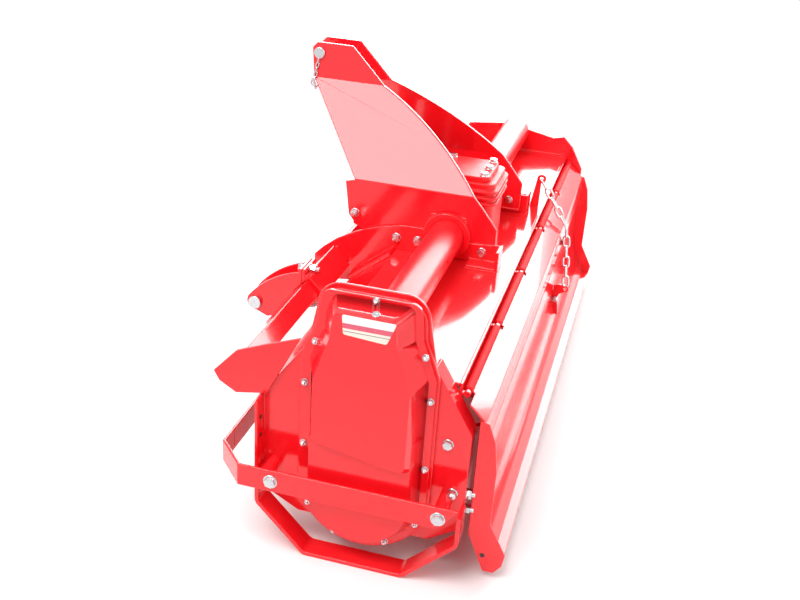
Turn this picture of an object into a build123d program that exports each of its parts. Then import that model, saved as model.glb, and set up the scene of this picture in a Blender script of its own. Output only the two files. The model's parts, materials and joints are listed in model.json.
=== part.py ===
"""Rotary tiller for a compact tractor, carried on a three-point hitch.

X runs across the machine with the chain case at +X, the tractor stands towards -Y,
Z is up and the skids stand on Z = 0. Side views are drawn as (y, z), with y measured
rearwards from the axle tube.
"""

from build123d import *
from math import atan2, cos, degrees, radians, sin
import os

# Overall layout
HALF_WIDTH = 703.0          # middle of the machine to the outer face of a side plate
HITCH_X = -28.0             # gearbox and mast stand this far from the middle
AXLE_Z = 430.0              # axle tube and gearbox shafts above the floor
ROTOR_Z = 175.0
ROTOR_RADIUS = 170.0        # axis to the tip of a tine
SEAT_GAP = 0.2              # between a round or square piece and the hole that holds it
RUNNING_GAP = 0.05          # between a turning shaft and its bore

# Category 1 hitch
MAST_HEIGHT = 460.0         # lower hitch pins to the top link pin
LOWER_SPREAD = 683.0        # middle of one lower clevis to the middle of the other
LOWER_PIN_Y = -359.0
LOWER_PIN_Z = 293.0
LOWER_PIN_RADIUS = 11.0
TOP_PIN_Y = -349.0
TOP_PIN_RADIUS = 9.5
TOP_LINK_GAP = 52.0
PIN_HEAD = 8.0
PIN_HEAD_EXTRA = 3.0
PIN_TAIL = 14.0

# Sheet and plate thicknesses
SIDE_SHEET = 6.0
HOOD_SHEET = 5.0
BOARD_SHEET = 4.0
MAST_SHEET = 8.0
ARM_SHEET = 8.0

# Axle tubes and gearbox
TUBE_RADIUS = 38.0
TUBE_WALL = 6.0
COLLAR_RADIUS = 51.0
COLLAR_LENGTH = 12.0
GEARBOX_WIDTH = 150.0
GEARBOX_DEPTH = 150.0
GEARBOX_TOP_Z = 520.0
INPUT_RADIUS = 17.5
SHOULDER_RADIUS = 20.0
SHOULDER_PROUD = 4.0
INPUT_REACH = 95.0
INPUT_SEAT = 40.0           # depth of the bore in the gearbox nose

# Mast
MAST_HALF = 165.0           # hitch middle to the outer face of a mast foot
MAST_KNEE_Z = 519.0
MAST_NECK_DROP = 56.0       # top link pin down to the neck's bend
MAST_TOP_RISE = 22.0        # top link pin up to the top edge

# Hood
HOOD_TOP_Z = 377.0
HOOD_FRONT_Y = -206.0
HOOD_FRONT_Z = 302.0
HOOD_BREAK_Y = -112.0
HOOD_REAR_Y = 150.0
HOOD_APRON_Z = 262.0
BAR_DROP = 40.0             # hood's top down to the hinge bar's lower edge
BAR_THICK = 5.0

# Front beam and lower clevises
BEAM_Y = -245.0
BEAM_Z = 335.0
BEAM_SIDE = 40.0
BEAM_WALL = 5.0
CLAMP_WIDTH = 65.0
STRAP_WIDTH = 170.0          # the strap is longer along the beam than the clamp's plate
CLAMP_SHEET = 8.0
CLAMP_SPLIT_Y = -257.0
CLAMP_TOP_Z = 385.0
CLAMP_BOTTOM_Z = 287.0
EAR_SHEET = 8.0
EAR_NOSE_RADIUS = 20.0
EAR_BACK_Y = -325.0         # a point on the curve of the ear's top
EAR_BACK_Z = 350.0
EAR_STEP = 8.0              # top of the clamp plate down to the ear
EAR_HEEL_Y = -333.0
EAR_HEEL_Z = 262.0

# Levelling board
HINGE_Y = 164.0
HINGE_Z = 357.0
HINGE_RADIUS = 3.0
HINGE_LUGS = 6
HINGE_LUG_WIDTH = 10.0
HINGE_LUG_GAP = 3.0
HINGE_NOTCH = 12.0          # radius of the board's notch round a lug
BOARD_SIDE_GAP = 5.0        # end of the board to the side plate
BOARD_KNEE_Y = 205.0
BOARD_KNEE_Z = 325.0
BOARD_FOLD_Y = 211.0
BOARD_FOLD_Z = 290.0
BOARD_WAIST_Y = 201.0
BOARD_WAIST_Z = 232.0
BOARD_BELLY_Y = 205.0
BOARD_BELLY_Z = 140.0
BOARD_FLARE_Y = 221.0
BOARD_FLARE_Z = 72.0
BOARD_RIM_Y = 245.0
BOARD_RIM_Z = 41.0
BOARD_LIP_Y = 264.0
BOARD_LIP_Z = 36.0
BOARD_END_Y = 268.0         # rearmost point of the board's end plates

# Skids and guards
SKID_WIDTH = 44.0
SKID_SHEET = 8.0
SKID_FLAT_FRONT = -97.0
SKID_FLAT_REAR = 90.0
SKID_FRONT_Y = -194.0
SKID_REAR_Y = 186.0
SKID_BEND_Z = 98.0
SKID_LUG = 60.0
GUARD_GAP = 58.0            # side plate to the guard strap
GUARD_HEIGHT = 45.0
GUARD_SHEET = 6.0
GUARD_Z = 165.0
GUARD_REAR_Y = 187.0
GUARD_CORNER_Y = -217.0
GUARD_BAR_Y = -271.0
GUARD_BAR_X = 705.0
GUARD_POST_RADIUS = 13.0
GUARD_FRONT_POST_Y = -171.0
GUARD_REAR_POST_Y = 153.0
GUARD_SLANT = 35.0          # how far the strap's rear end leans

# Chain case
CASE_FLANGE = 8.0
CASE_DEPTH = 46.0
CASE_BOTTOM_Z = 152.0
CASE_BOTTOM_RADIUS = 125.0
CASE_TOP_Z = 540.0

# Rotor
ROTOR_TUBE_RADIUS = 30.0
ROTOR_END_GAP = 9.0         # side plate to the end of the rotor tube
STUB_RADIUS = 20.0
STUB_PAST_DRIVE = 4.0       # past the outer face of the side plate
STUB_PAST_FAR = 10.0
HUB_RADIUS = 45.0
HUB_FLANGE_RADIUS = 65.0
HUB_DEPTH = 40.0
DISC_RADIUS = 75.0
DISC_SHEET = 8.0
DISC_COUNT = 7
DISC_END_GAP = 88.0         # end of the rotor tube to the middle of the last disc
TINE_SHEET = 8.0
TINE_WIDTH = 40.0
TINE_WING = 58.0
TINE_ROOT = 42.0

# The origin stands on the floor at the middle of the whole machine
FRONT_REACH = EAR_NOSE_RADIUS - LOWER_PIN_Y
AXIS_Y = (FRONT_REACH - BOARD_END_Y) / 2
rotor_half = HALF_WIDTH - SIDE_SHEET - ROTOR_END_GAP
disc_span = 2 * (rotor_half - DISC_END_GAP)

os.makedirs("parts", exist_ok=True)


def across(x):
    """Side view plane at x: its own axes are (y from the axle, z)."""
    return Plane(origin=(x, AXIS_Y, 0), x_dir=(0, 1, 0), z_dir=(1, 0, 0))


def facing(y):
    """Front view plane at y from the axle: its own axes are (x, z)."""
    return Plane(origin=(0, AXIS_Y + y, 0), x_dir=(1, 0, 0), z_dir=(0, -1, 0))


def level(z):
    """Plan view plane at z: its own axes are (x, y from the axle)."""
    return Plane(origin=(0, AXIS_Y, z), x_dir=(1, 0, 0), z_dir=(0, 0, 1))


def save(piece, name):
    piece.label = name
    export_step(piece, f"parts/{name}.step")


def side_name(side):
    return "drive" if side > 0 else "far"


# Side plates
PLATE_FRONT_Y = -200.0
PLATE_REAR_Y = 187.0
PLATE_BOTTOM_Z = 105.0
PLATE_SHOULDER_Z = 302.0
PLATE_NECK_Y = 115.0
PLATE_NECK_Z = 420.0
PLATE_ARCH_Y = 101.0
PLATE_ARCH_Z = 490.0
PLATE_TOP_Z = 547.0
PLATE_CORNER_RADIUS = 45.0
PLATE_FLANGE = 30.0
PLATE_LIP = 35.0            # inward flange along the rear slope
FAR_FRONT_Y = -132.0
FAR_FRONT_Z = 437.0
FAR_CREST_Y = -19.0
FAR_CREST_Z = 450.0
FAR_DIP_Y = 111.0
FAR_DIP_Z = 424.0
FAR_HORN_Y = 141.0
FAR_HORN_Z = 431.0
FAR_BROW_Y = 168.0
FAR_BROW_Z = 404.0
FAR_EAR_Y = 201.0
FAR_EAR_TOP_Z = 345.0
FAR_EAR_FOOT_Z = 326.0
plate_slope = atan2(PLATE_NECK_Z - PLATE_SHOULDER_Z, PLATE_REAR_Y - PLATE_NECK_Y)

belly = [
    (PLATE_REAR_Y, PLATE_BOTTOM_Z),
    (CASE_BOTTOM_RADIUS, PLATE_BOTTOM_Z - 40),
    (-CASE_BOTTOM_RADIUS, PLATE_BOTTOM_Z - 40),
    (PLATE_FRONT_Y, PLATE_BOTTOM_Z),
]

def slope_point(y, z, depth):
    """A point of the rear slope's edge, moved into the plate by depth."""
    return (y - depth * sin(plate_slope), z - depth * cos(plate_slope))


with BuildPart() as side_plate_drive:
    with BuildSketch(across(HALF_WIDTH - SIDE_SHEET)):
        with BuildLine():
            Polyline(
                *belly,
                (PLATE_FRONT_Y, PLATE_SHOULDER_Z),
                (-PLATE_NECK_Y, PLATE_NECK_Z),
                (-PLATE_ARCH_Y, PLATE_ARCH_Z),
            )
            FilletPolyline(
                (-PLATE_ARCH_Y, PLATE_ARCH_Z),
                (-PLATE_ARCH_Y + 8, PLATE_TOP_Z),
                (PLATE_ARCH_Y - 8, PLATE_TOP_Z),
                (PLATE_ARCH_Y, PLATE_ARCH_Z),
                radius=PLATE_CORNER_RADIUS,
            )
            Polyline(
                (PLATE_ARCH_Y, PLATE_ARCH_Z),
                (PLATE_NECK_Y, PLATE_NECK_Z),
                (PLATE_REAR_Y, PLATE_SHOULDER_Z),
                belly[0],
            )
        make_face()
        with Locations((0, ROTOR_Z)):
            Circle(HUB_RADIUS, mode=Mode.SUBTRACT)
    extrude(amount=SIDE_SHEET)
    with BuildSketch(across(HALF_WIDTH)):
        with Locations((PLATE_FRONT_Y + SIDE_SHEET / 2, (PLATE_BOTTOM_Z + PLATE_SHOULDER_Z) / 2)):
            Rectangle(SIDE_SHEET, PLATE_SHOULDER_Z - PLATE_BOTTOM_Z)
    extrude(amount=PLATE_FLANGE)
    with BuildSketch(across(HALF_WIDTH - SIDE_SHEET)):
        with BuildLine():
            Polyline(
                slope_point(PLATE_NECK_Y, PLATE_NECK_Z, SIDE_SHEET / 2),
                slope_point(PLATE_REAR_Y, PLATE_SHOULDER_Z, SIDE_SHEET / 2),
            )
        trace(line_width=SIDE_SHEET)
    extrude(amount=-PLATE_LIP)
save(side_plate_drive.part, "side_plate_drive")

with BuildPart() as side_plate_far:
    with BuildSketch(across(-HALF_WIDTH)):
        with BuildLine():
            Polyline(
                *belly,
                (PLATE_FRONT_Y, PLATE_SHOULDER_Z),
                (FAR_FRONT_Y, FAR_FRONT_Z),
                (FAR_CREST_Y, FAR_CREST_Z),
                (FAR_DIP_Y, FAR_DIP_Z),
                (FAR_HORN_Y, FAR_HORN_Z),
                (FAR_BROW_Y, FAR_BROW_Z),
                (FAR_EAR_Y, FAR_EAR_TOP_Z),
                (FAR_EAR_Y, FAR_EAR_FOOT_Z),
                (PLATE_REAR_Y, PLATE_SHOULDER_Z),
                close=True,
            )
        make_face()
        with Locations((0, ROTOR_Z)):
            Circle(HUB_RADIUS, mode=Mode.SUBTRACT)
    extrude(amount=SIDE_SHEET)
    with BuildSketch(across(-HALF_WIDTH)):
        with Locations((PLATE_FRONT_Y + SIDE_SHEET / 2, (PLATE_BOTTOM_Z + PLATE_SHOULDER_Z) / 2)):
            Rectangle(SIDE_SHEET, PLATE_SHOULDER_Z - PLATE_BOTTOM_Z)
    extrude(amount=-PLATE_FLANGE)
save(side_plate_far.part, "side_plate_far")

# Chain case on the drive side, a flanged pan and its pressed cover
CASE_NECK_Y = 98.0
CASE_NECK_Z = 470.0
CASE_SHOULDER_Z = 400.0
CASE_CORNER_RADIUS = 42.0
COVER_INSET = 14.0
BULGE_DEPTH = 34.0          # the round lower part of the cover
BULGE_TAPER = 18.0
BULGE_TOP_Z = 290.0
PANEL_FRONT_Z = 236.0       # lower edge of the raised panel
PANEL_REAR_Z = 206.0
PANEL_TAPER = 26.0
PANEL_CORNER = 12.0


def case_outline(inset):
    """Side view of the case, drawn in from its flange by inset."""
    side = CASE_BOTTOM_RADIUS - inset
    neck = CASE_NECK_Y - inset
    top = CASE_TOP_Z - inset
    corner = CASE_CORNER_RADIUS - inset * 0.6
    with BuildSketch(mode=Mode.PRIVATE) as outline:
        with BuildLine():
            RadiusArc((-side, CASE_BOTTOM_Z), (side, CASE_BOTTOM_Z), -side)
            FilletPolyline(
                (side, CASE_BOTTOM_Z),
                (side, CASE_SHOULDER_Z),
                (neck, CASE_NECK_Z),
                (neck - 6, top),
                (-neck + 6, top),
                (-neck, CASE_NECK_Z),
                (-side, CASE_SHOULDER_Z),
                (-side, CASE_BOTTOM_Z),
                radius=corner,
            )
        make_face()
    return outline.sketch


def panel_outline(inset):
    """Side view of the cover's raised panel, drawn in from its foot by inset."""
    side = CASE_BOTTOM_RADIUS - COVER_INSET - inset
    neck = CASE_NECK_Y - COVER_INSET - inset
    top = CASE_TOP_Z - COVER_INSET - 0.7 * inset
    with BuildSketch(mode=Mode.PRIVATE) as outline:
        with BuildLine():
            FilletPolyline(
                (-side, PANEL_FRONT_Z + inset),
                (side, PANEL_REAR_Z + inset),
                (side, CASE_SHOULDER_Z - inset / 2),
                (neck, CASE_NECK_Z),
                (neck - 6, top),
                (-neck + 6, top),
                (-neck, CASE_NECK_Z),
                (-side, CASE_SHOULDER_Z - inset / 2),
                radius=PANEL_CORNER,
                close=True,
            )
        make_face()
    return outline.sketch


with BuildPart() as chain_case:
    with BuildSketch(across(HALF_WIDTH)):
        add(case_outline(0))
    extrude(amount=CASE_FLANGE)
    with BuildSketch(across(HALF_WIDTH - SIDE_SHEET)):
        with Locations((0, ROTOR_Z)):
            Circle(HUB_RADIUS - SEAT_GAP)
    extrude(amount=SIDE_SHEET)
    with BuildSketch(across(HALF_WIDTH - SIDE_SHEET)):
        with Locations((0, ROTOR_Z)):
            Circle(STUB_RADIUS + RUNNING_GAP)
    extrude(amount=SIDE_SHEET + CASE_FLANGE, mode=Mode.SUBTRACT)
save(chain_case.part, "chain_case")

with BuildPart() as chain_case_cover:
    with BuildSketch(across(HALF_WIDTH + CASE_FLANGE)):
        add(case_outline(COVER_INSET))
    with BuildSketch(across(HALF_WIDTH + CASE_FLANGE + BULGE_DEPTH)):
        add(case_outline(COVER_INSET + BULGE_TAPER))
    loft()
    split(bisect_by=Plane.XY.offset(BULGE_TOP_Z), keep=Keep.BOTTOM)
    with BuildSketch(across(HALF_WIDTH + CASE_FLANGE)):
        add(panel_outline(0))
    with BuildSketch(across(HALF_WIDTH + CASE_FLANGE + CASE_DEPTH)):
        add(panel_outline(PANEL_TAPER))
    loft()
save(chain_case_cover.part, "chain_case_cover")

# Bearing on the far side of the rotor
with BuildPart() as bearing_far:
    with BuildSketch(across(-HALF_WIDTH)):
        with Locations((0, ROTOR_Z)):
            Circle(HUB_FLANGE_RADIUS)
    extrude(amount=-HUB_DEPTH)
    with BuildSketch(across(-HALF_WIDTH)):
        with Locations((0, ROTOR_Z)):
            Circle(HUB_RADIUS - SEAT_GAP)
    extrude(amount=SIDE_SHEET)
    with BuildSketch(across(-HALF_WIDTH + SIDE_SHEET)):
        with Locations((0, ROTOR_Z)):
            Circle(STUB_RADIUS + RUNNING_GAP)
    extrude(amount=-SIDE_SHEET - HUB_DEPTH / 2, mode=Mode.SUBTRACT)
save(bearing_far.part, "bearing_far")

# Gearbox between the axle tubes
GEARBOX_FRONT_Y = -GEARBOX_DEPTH / 2
NOSE_RADIUS = 46.0
NOSE_LENGTH = 25.0
COVER_THICK = 12.0
COVER_WIDTH = 130.0
COVER_DEPTH = 120.0
FIN_SHEET = 6.0
FIN_PITCH = 14.0
FIN_REACH = 8.0
FIN_COUNT = 3

with BuildPart() as gearbox:
    with BuildSketch(level(HOOD_TOP_Z)):
        with Locations((HITCH_X, 0)):
            RectangleRounded(GEARBOX_WIDTH, GEARBOX_DEPTH, 20)
    extrude(amount=GEARBOX_TOP_Z - HOOD_TOP_Z)
    for fin in range(FIN_COUNT):
        with BuildSketch(level(GEARBOX_TOP_Z - FIN_SHEET - FIN_PITCH * (fin + 1))):
            with Locations((HITCH_X, 0)):
                RectangleRounded(GEARBOX_WIDTH + 2 * FIN_REACH, GEARBOX_DEPTH + 2 * FIN_REACH, 24)
        extrude(amount=FIN_SHEET)
    with BuildSketch(facing(0)):
        with Locations((HITCH_X, AXLE_Z)):
            Circle(NOSE_RADIUS)
    extrude(amount=-GEARBOX_FRONT_Y + NOSE_LENGTH)
    with BuildSketch(facing(GEARBOX_FRONT_Y - NOSE_LENGTH)):
        with Locations((HITCH_X, AXLE_Z)):
            Circle(SHOULDER_RADIUS + RUNNING_GAP)
    extrude(amount=-INPUT_SEAT, mode=Mode.SUBTRACT)
save(gearbox.part, "gearbox")

with BuildPart() as gearbox_cover:
    with BuildSketch(level(GEARBOX_TOP_Z)):
        with Locations((HITCH_X, 0)):
            RectangleRounded(COVER_WIDTH, COVER_DEPTH, 16)
    extrude(amount=COVER_THICK)
save(gearbox_cover.part, "gearbox_cover")

LAND_LENGTH = 16.0
RELIEF_LENGTH = 3.0
SPLINES = 6
SPLINE_ROOT_RADIUS = 14.8
SPLINE_GAP = 9.6
NOSE_Y = GEARBOX_FRONT_Y - NOSE_LENGTH
spline_length = INPUT_REACH - SHOULDER_PROUD - LAND_LENGTH - RELIEF_LENGTH

with BuildPart() as input_shaft:
    with BuildSketch(facing(NOSE_Y + INPUT_SEAT - 5)):
        with Locations((HITCH_X, AXLE_Z)):
            Circle(SHOULDER_RADIUS)
    extrude(amount=INPUT_SEAT - 5 + SHOULDER_PROUD)
    with BuildSketch(facing(NOSE_Y)):
        with Locations((HITCH_X, AXLE_Z)):
            Circle(INPUT_RADIUS)
    extrude(amount=INPUT_REACH)
    with BuildSketch(facing(NOSE_Y - INPUT_REACH)):
        with Locations((HITCH_X, AXLE_Z)):
            with PolarLocations(INPUT_RADIUS, SPLINES):
                Rectangle(2 * (INPUT_RADIUS - SPLINE_ROOT_RADIUS), SPLINE_GAP)
    extrude(amount=-spline_length, mode=Mode.SUBTRACT)
    with BuildSketch(facing(NOSE_Y - INPUT_REACH + spline_length)):
        with Locations((HITCH_X, AXLE_Z)):
            Circle(INPUT_RADIUS)
            Circle(SPLINE_ROOT_RADIUS, mode=Mode.SUBTRACT)
    extrude(amount=-RELIEF_LENGTH, mode=Mode.SUBTRACT)
save(input_shaft.part, "input_shaft")

GUARD_CONE_RADIUS = 52.0
GUARD_GAP_ROUND = 6.0
GUARD_CONE_SHEET = 3.0
GUARD_CONE_REACH = 120.0

with BuildPart() as input_guard:
    with BuildSketch(facing(GEARBOX_FRONT_Y - NOSE_LENGTH)):
        with Locations((HITCH_X, AXLE_Z)):
            Circle(GUARD_CONE_RADIUS)
            Circle(SHOULDER_RADIUS + GUARD_GAP_ROUND, mode=Mode.SUBTRACT)
    extrude(amount=GUARD_CONE_SHEET)
    with BuildSketch(facing(GEARBOX_FRONT_Y - NOSE_LENGTH)):
        with Locations((HITCH_X, AXLE_Z)):
            Circle(GUARD_CONE_RADIUS)
            Circle(GUARD_CONE_RADIUS - GUARD_CONE_SHEET, mode=Mode.SUBTRACT)
    extrude(amount=GUARD_CONE_REACH)
save(input_guard.part, "input_guard")

# Axle tubes from the gearbox to the side plates
for side in (1, -1):
    inner_x = HITCH_X + side * GEARBOX_WIDTH / 2
    outer_x = side * (HALF_WIDTH - SIDE_SHEET)
    with BuildPart() as axle_tube:
        with BuildSketch(across(inner_x)):
            with Locations((0, AXLE_Z)):
                Circle(TUBE_RADIUS)
                Circle(TUBE_RADIUS - TUBE_WALL, mode=Mode.SUBTRACT)
        extrude(amount=outer_x - inner_x)
    save(axle_tube.part, f"axle_tube_{side_name(side)}")

# Mast plates: bent strips, cut to their side view
MAST_FOOT_REAR_Y = 105.0
MAST_FOOT_FRONT_Y = -216.0
MAST_FOOT_Z = 418.0
MAST_HEEL_Y = -150.0
MAST_NECK_FRONT_Y = -362.0
MAST_NECK_REAR_Y = -199.0
MAST_TOP_FRONT_Y = TOP_PIN_Y - 18.0
MAST_TOP_REAR_Y = -275.0
MAST_CHAMFER = 12.0
MAST_HIP_Z = 453.0
MAST_BACK_Y = -32.0         # a point on the curve of the rear edge
MAST_BACK_Z = 596.0
TOP_PIN_Z = LOWER_PIN_Z + MAST_HEIGHT
MAST_NECK_Z = TOP_PIN_Z - MAST_NECK_DROP
MAST_TOP_Z = TOP_PIN_Z + MAST_TOP_RISE
FOOT_CLEAR_Z = HOOD_TOP_Z + 9.0
neck_half = TOP_LINK_GAP / 2 + MAST_SHEET / 2
foot_half = MAST_HALF - MAST_SHEET / 2

for side in (1, -1):
    with BuildPart() as mast_plate:
        with BuildSketch(facing(MAST_FOOT_REAR_Y + 20)):
            with BuildLine():
                Polyline(
                    (HITCH_X + side * foot_half, FOOT_CLEAR_Z - 5),
                    (HITCH_X + side * foot_half, MAST_KNEE_Z),
                    (HITCH_X + side * neck_half, MAST_NECK_Z),
                    (HITCH_X + side * neck_half, MAST_TOP_Z + 5),
                )
            trace(line_width=MAST_SHEET)
        extrude(amount=MAST_FOOT_REAR_Y - MAST_TOP_FRONT_Y + 60)
        with BuildSketch(across(HITCH_X - MAST_HALF - 5)):
            with BuildLine():
                ThreePointArc(
                    (MAST_FOOT_REAR_Y, MAST_HIP_Z),
                    (MAST_BACK_Y, MAST_BACK_Z),
                    (MAST_NECK_REAR_Y, MAST_NECK_Z),
                )
                Polyline(
                    (MAST_NECK_REAR_Y, MAST_NECK_Z),
                    (MAST_TOP_REAR_Y, MAST_TOP_Z),
                    (MAST_TOP_FRONT_Y + MAST_CHAMFER, MAST_TOP_Z),
                    (MAST_TOP_FRONT_Y, MAST_TOP_Z - MAST_CHAMFER),
                    (MAST_NECK_FRONT_Y, MAST_NECK_Z),
                    (MAST_FOOT_FRONT_Y, MAST_KNEE_Z),
                    (MAST_FOOT_FRONT_Y, MAST_FOOT_Z),
                    (MAST_HEEL_Y, FOOT_CLEAR_Z),
                    (MAST_FOOT_REAR_Y, FOOT_CLEAR_Z),
                    (MAST_FOOT_REAR_Y, MAST_HIP_Z),
                )
            make_face()
            with Locations((0, AXLE_Z)):
                Circle(TUBE_RADIUS + SEAT_GAP, mode=Mode.SUBTRACT)
            with Locations((TOP_PIN_Y, TOP_PIN_Z)):
                Circle(TOP_PIN_RADIUS + SEAT_GAP, mode=Mode.SUBTRACT)
        extrude(amount=2 * MAST_HALF + 10, mode=Mode.INTERSECT)
    save(mast_plate.part, f"mast_plate_{side_name(side)}")

# Web that closes the top of the mast behind the top link
web_lean = atan2(MAST_TOP_Z - MAST_NECK_Z, MAST_NECK_REAR_Y - MAST_TOP_REAR_Y)
web_in = (-MAST_SHEET / 2 * sin(web_lean), -MAST_SHEET / 2 * cos(web_lean))

with BuildPart() as mast_web:
    with BuildSketch(across(HITCH_X - TOP_LINK_GAP / 2)):
        with BuildLine():
            Polyline(
                (MAST_TOP_REAR_Y + web_in[0], MAST_TOP_Z + web_in[1]),
                (MAST_NECK_REAR_Y + web_in[0], MAST_NECK_Z + web_in[1]),
            )
        trace(line_width=MAST_SHEET)
    extrude(amount=TOP_LINK_GAP)
save(mast_web.part, "mast_web")

with BuildPart() as top_link_pin:
    with BuildSketch(across(HITCH_X - TOP_LINK_GAP / 2 - MAST_SHEET - PIN_TAIL)):
        with Locations((TOP_PIN_Y, TOP_PIN_Z)):
            Circle(TOP_PIN_RADIUS)
    extrude(amount=TOP_LINK_GAP + 2 * MAST_SHEET + PIN_TAIL)
    with BuildSketch(across(HITCH_X + TOP_LINK_GAP / 2 + MAST_SHEET)):
        with Locations((TOP_PIN_Y, TOP_PIN_Z)):
            Circle(TOP_PIN_RADIUS + PIN_HEAD_EXTRA)
    extrude(amount=PIN_HEAD)
save(top_link_pin.part, "top_link_pin")

# Arm plates that carry the beam, with their feet on the hood
ARM_CREST_Y = -131.0
ARM_CREST_Z = 424.0
ARM_NECK_Y = -207.0
ARM_NECK_Z = 402.0
ARM_REAR_Y = 122.0
FOOT_WIDTH = 40.0
FOOT_SHEET = 8.0
hood_slope = atan2(HOOD_TOP_Z - HOOD_FRONT_Z, HOOD_BREAK_Y - HOOD_FRONT_Y)

for side in (1, -1):
    face_x = HITCH_X + side * MAST_HALF
    with BuildPart() as arm_plate:
        with BuildSketch(across(face_x)):
            with BuildLine():
                Polyline(
                    (HOOD_BREAK_Y, HOOD_TOP_Z),
                    (HOOD_FRONT_Y, HOOD_FRONT_Z),
                    (HOOD_FRONT_Y, HOOD_FRONT_Z - 18),
                    (BEAM_Y - 22, BEAM_Z - 58),
                    (BEAM_Y - 54, BEAM_Z - 32),
                    (BEAM_Y - 56, BEAM_Z - 3),
                    (BEAM_Y - 36, BEAM_Z + 18),
                    (BEAM_Y - 5, BEAM_Z + 43),
                    (ARM_NECK_Y, ARM_NECK_Z),
                    (ARM_CREST_Y - 40, ARM_CREST_Z - 7),
                    (ARM_CREST_Y, ARM_CREST_Z + 4),
                    (ARM_CREST_Y + 35, ARM_CREST_Z + 11),
                    (-TUBE_RADIUS - 16, ARM_CREST_Z + 11),
                    (-TUBE_RADIUS, AXLE_Z + TUBE_RADIUS + 6),
                    (TUBE_RADIUS, AXLE_Z + TUBE_RADIUS + 6),
                    (TUBE_RADIUS + 14, ARM_CREST_Z - 6),
                    (ARM_REAR_Y, ARM_CREST_Z),
                    (ARM_REAR_Y, HOOD_TOP_Z),
                    close=True,
                )
            make_face()
            with Locations((0, AXLE_Z)):
                Circle(TUBE_RADIUS + SEAT_GAP, mode=Mode.SUBTRACT)
            with Locations(Location((BEAM_Y, BEAM_Z), 45)):
                Rectangle(BEAM_SIDE + 2 * SEAT_GAP, BEAM_SIDE + 2 * SEAT_GAP, mode=Mode.SUBTRACT)
        extrude(amount=side * ARM_SHEET)
        with BuildSketch(across(face_x + side * ARM_SHEET)):
            with Locations((0, AXLE_Z)):
                Circle(COLLAR_RADIUS)
                Circle(TUBE_RADIUS + SEAT_GAP, mode=Mode.SUBTRACT)
        extrude(amount=side * COLLAR_LENGTH)
        with BuildSketch(across(face_x + side * ARM_SHEET)):
            with BuildLine():
                Polyline(
                    (TUBE_RADIUS + 14, HOOD_TOP_Z + FOOT_SHEET / 2),
                    (ARM_REAR_Y, HOOD_TOP_Z + FOOT_SHEET / 2),
                )
            trace(line_width=FOOT_SHEET)
        extrude(amount=side * FOOT_WIDTH)
        with BuildSketch(across(face_x + side * ARM_SHEET)):
            with BuildLine():
                Polyline(
                    (HOOD_BREAK_Y - 4 * sin(hood_slope), HOOD_TOP_Z + 4 * cos(hood_slope)),
                    (HOOD_FRONT_Y - 4 * sin(hood_slope), HOOD_FRONT_Z + 4 * cos(hood_slope)),
                )
            trace(line_width=FOOT_SHEET)
        extrude(amount=side * FOOT_WIDTH)
        with BuildSketch(across(face_x + side * ARM_SHEET)):
            with Locations((ARM_REAR_Y - FOOT_SHEET / 2, (HOOD_TOP_Z + ARM_CREST_Z) / 2)):
                Rectangle(FOOT_SHEET, ARM_CREST_Z - HOOD_TOP_Z)
        extrude(amount=side * FOOT_WIDTH)
    save(arm_plate.part, f"arm_plate_{side_name(side)}")

# Hood over the rotor, with the bar that carries the levelling board
with BuildPart() as hood:
    with BuildSketch(across(-HALF_WIDTH + SIDE_SHEET)):
        with BuildLine():
            Polyline(
                (HOOD_FRONT_Y, HOOD_APRON_Z),
                (HOOD_FRONT_Y, HOOD_FRONT_Z),
                (HOOD_BREAK_Y, HOOD_TOP_Z),
                (HOOD_REAR_Y, HOOD_TOP_Z),
                (HOOD_REAR_Y, HOOD_TOP_Z - HOOD_SHEET),
                (HOOD_BREAK_Y + 2, HOOD_TOP_Z - HOOD_SHEET),
                (HOOD_FRONT_Y + HOOD_SHEET, HOOD_FRONT_Z - 3),
                (HOOD_FRONT_Y + HOOD_SHEET, HOOD_APRON_Z),
                close=True,
            )
        make_face()
    extrude(amount=2 * (HALF_WIDTH - SIDE_SHEET))
    with BuildSketch(across(HALF_WIDTH - SIDE_SHEET)):
        with BuildLine():
            Polyline(
                slope_point(PLATE_NECK_Y, PLATE_NECK_Z, SIDE_SHEET),
                slope_point(PLATE_REAR_Y, PLATE_SHOULDER_Z, SIDE_SHEET),
                slope_point(PLATE_REAR_Y, PLATE_SHOULDER_Z, -PLATE_LIP),
                slope_point(PLATE_NECK_Y, PLATE_NECK_Z, -PLATE_LIP),
                close=True,
            )
        make_face()
    extrude(amount=-PLATE_LIP, mode=Mode.SUBTRACT)
save(hood.part, "hood")

bar_start = SIDE_SHEET - HALF_WIDTH
bar_length = 2 * (HALF_WIDTH - SIDE_SHEET) - PLATE_LIP
lug_x = [bar_start + HINGE_LUG_WIDTH / 2 + i * (bar_length - HINGE_LUG_WIDTH) / (HINGE_LUGS - 1)
         for i in range(HINGE_LUGS)]

with BuildPart() as hinge_bar:
    with BuildSketch(across(bar_start)):
        with Locations((HOOD_REAR_Y + BAR_THICK / 2, HOOD_TOP_Z - BAR_DROP / 2)):
            Rectangle(BAR_THICK, BAR_DROP)
    extrude(amount=bar_length)
    for x in lug_x:
        with BuildSketch(across(x - HINGE_LUG_WIDTH / 2)):
            with Locations((HINGE_Y, HINGE_Z)):
                Circle(2 * HINGE_RADIUS)
            with Locations(((HOOD_REAR_Y + BAR_THICK + HINGE_Y) / 2, HINGE_Z)):
                Rectangle(HINGE_Y - HOOD_REAR_Y - BAR_THICK, 2 * HINGE_RADIUS)
            with Locations((HINGE_Y, HINGE_Z)):
                Circle(HINGE_RADIUS + SEAT_GAP, mode=Mode.SUBTRACT)
        extrude(amount=HINGE_LUG_WIDTH)
save(hinge_bar.part, "hinge_bar")

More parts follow.
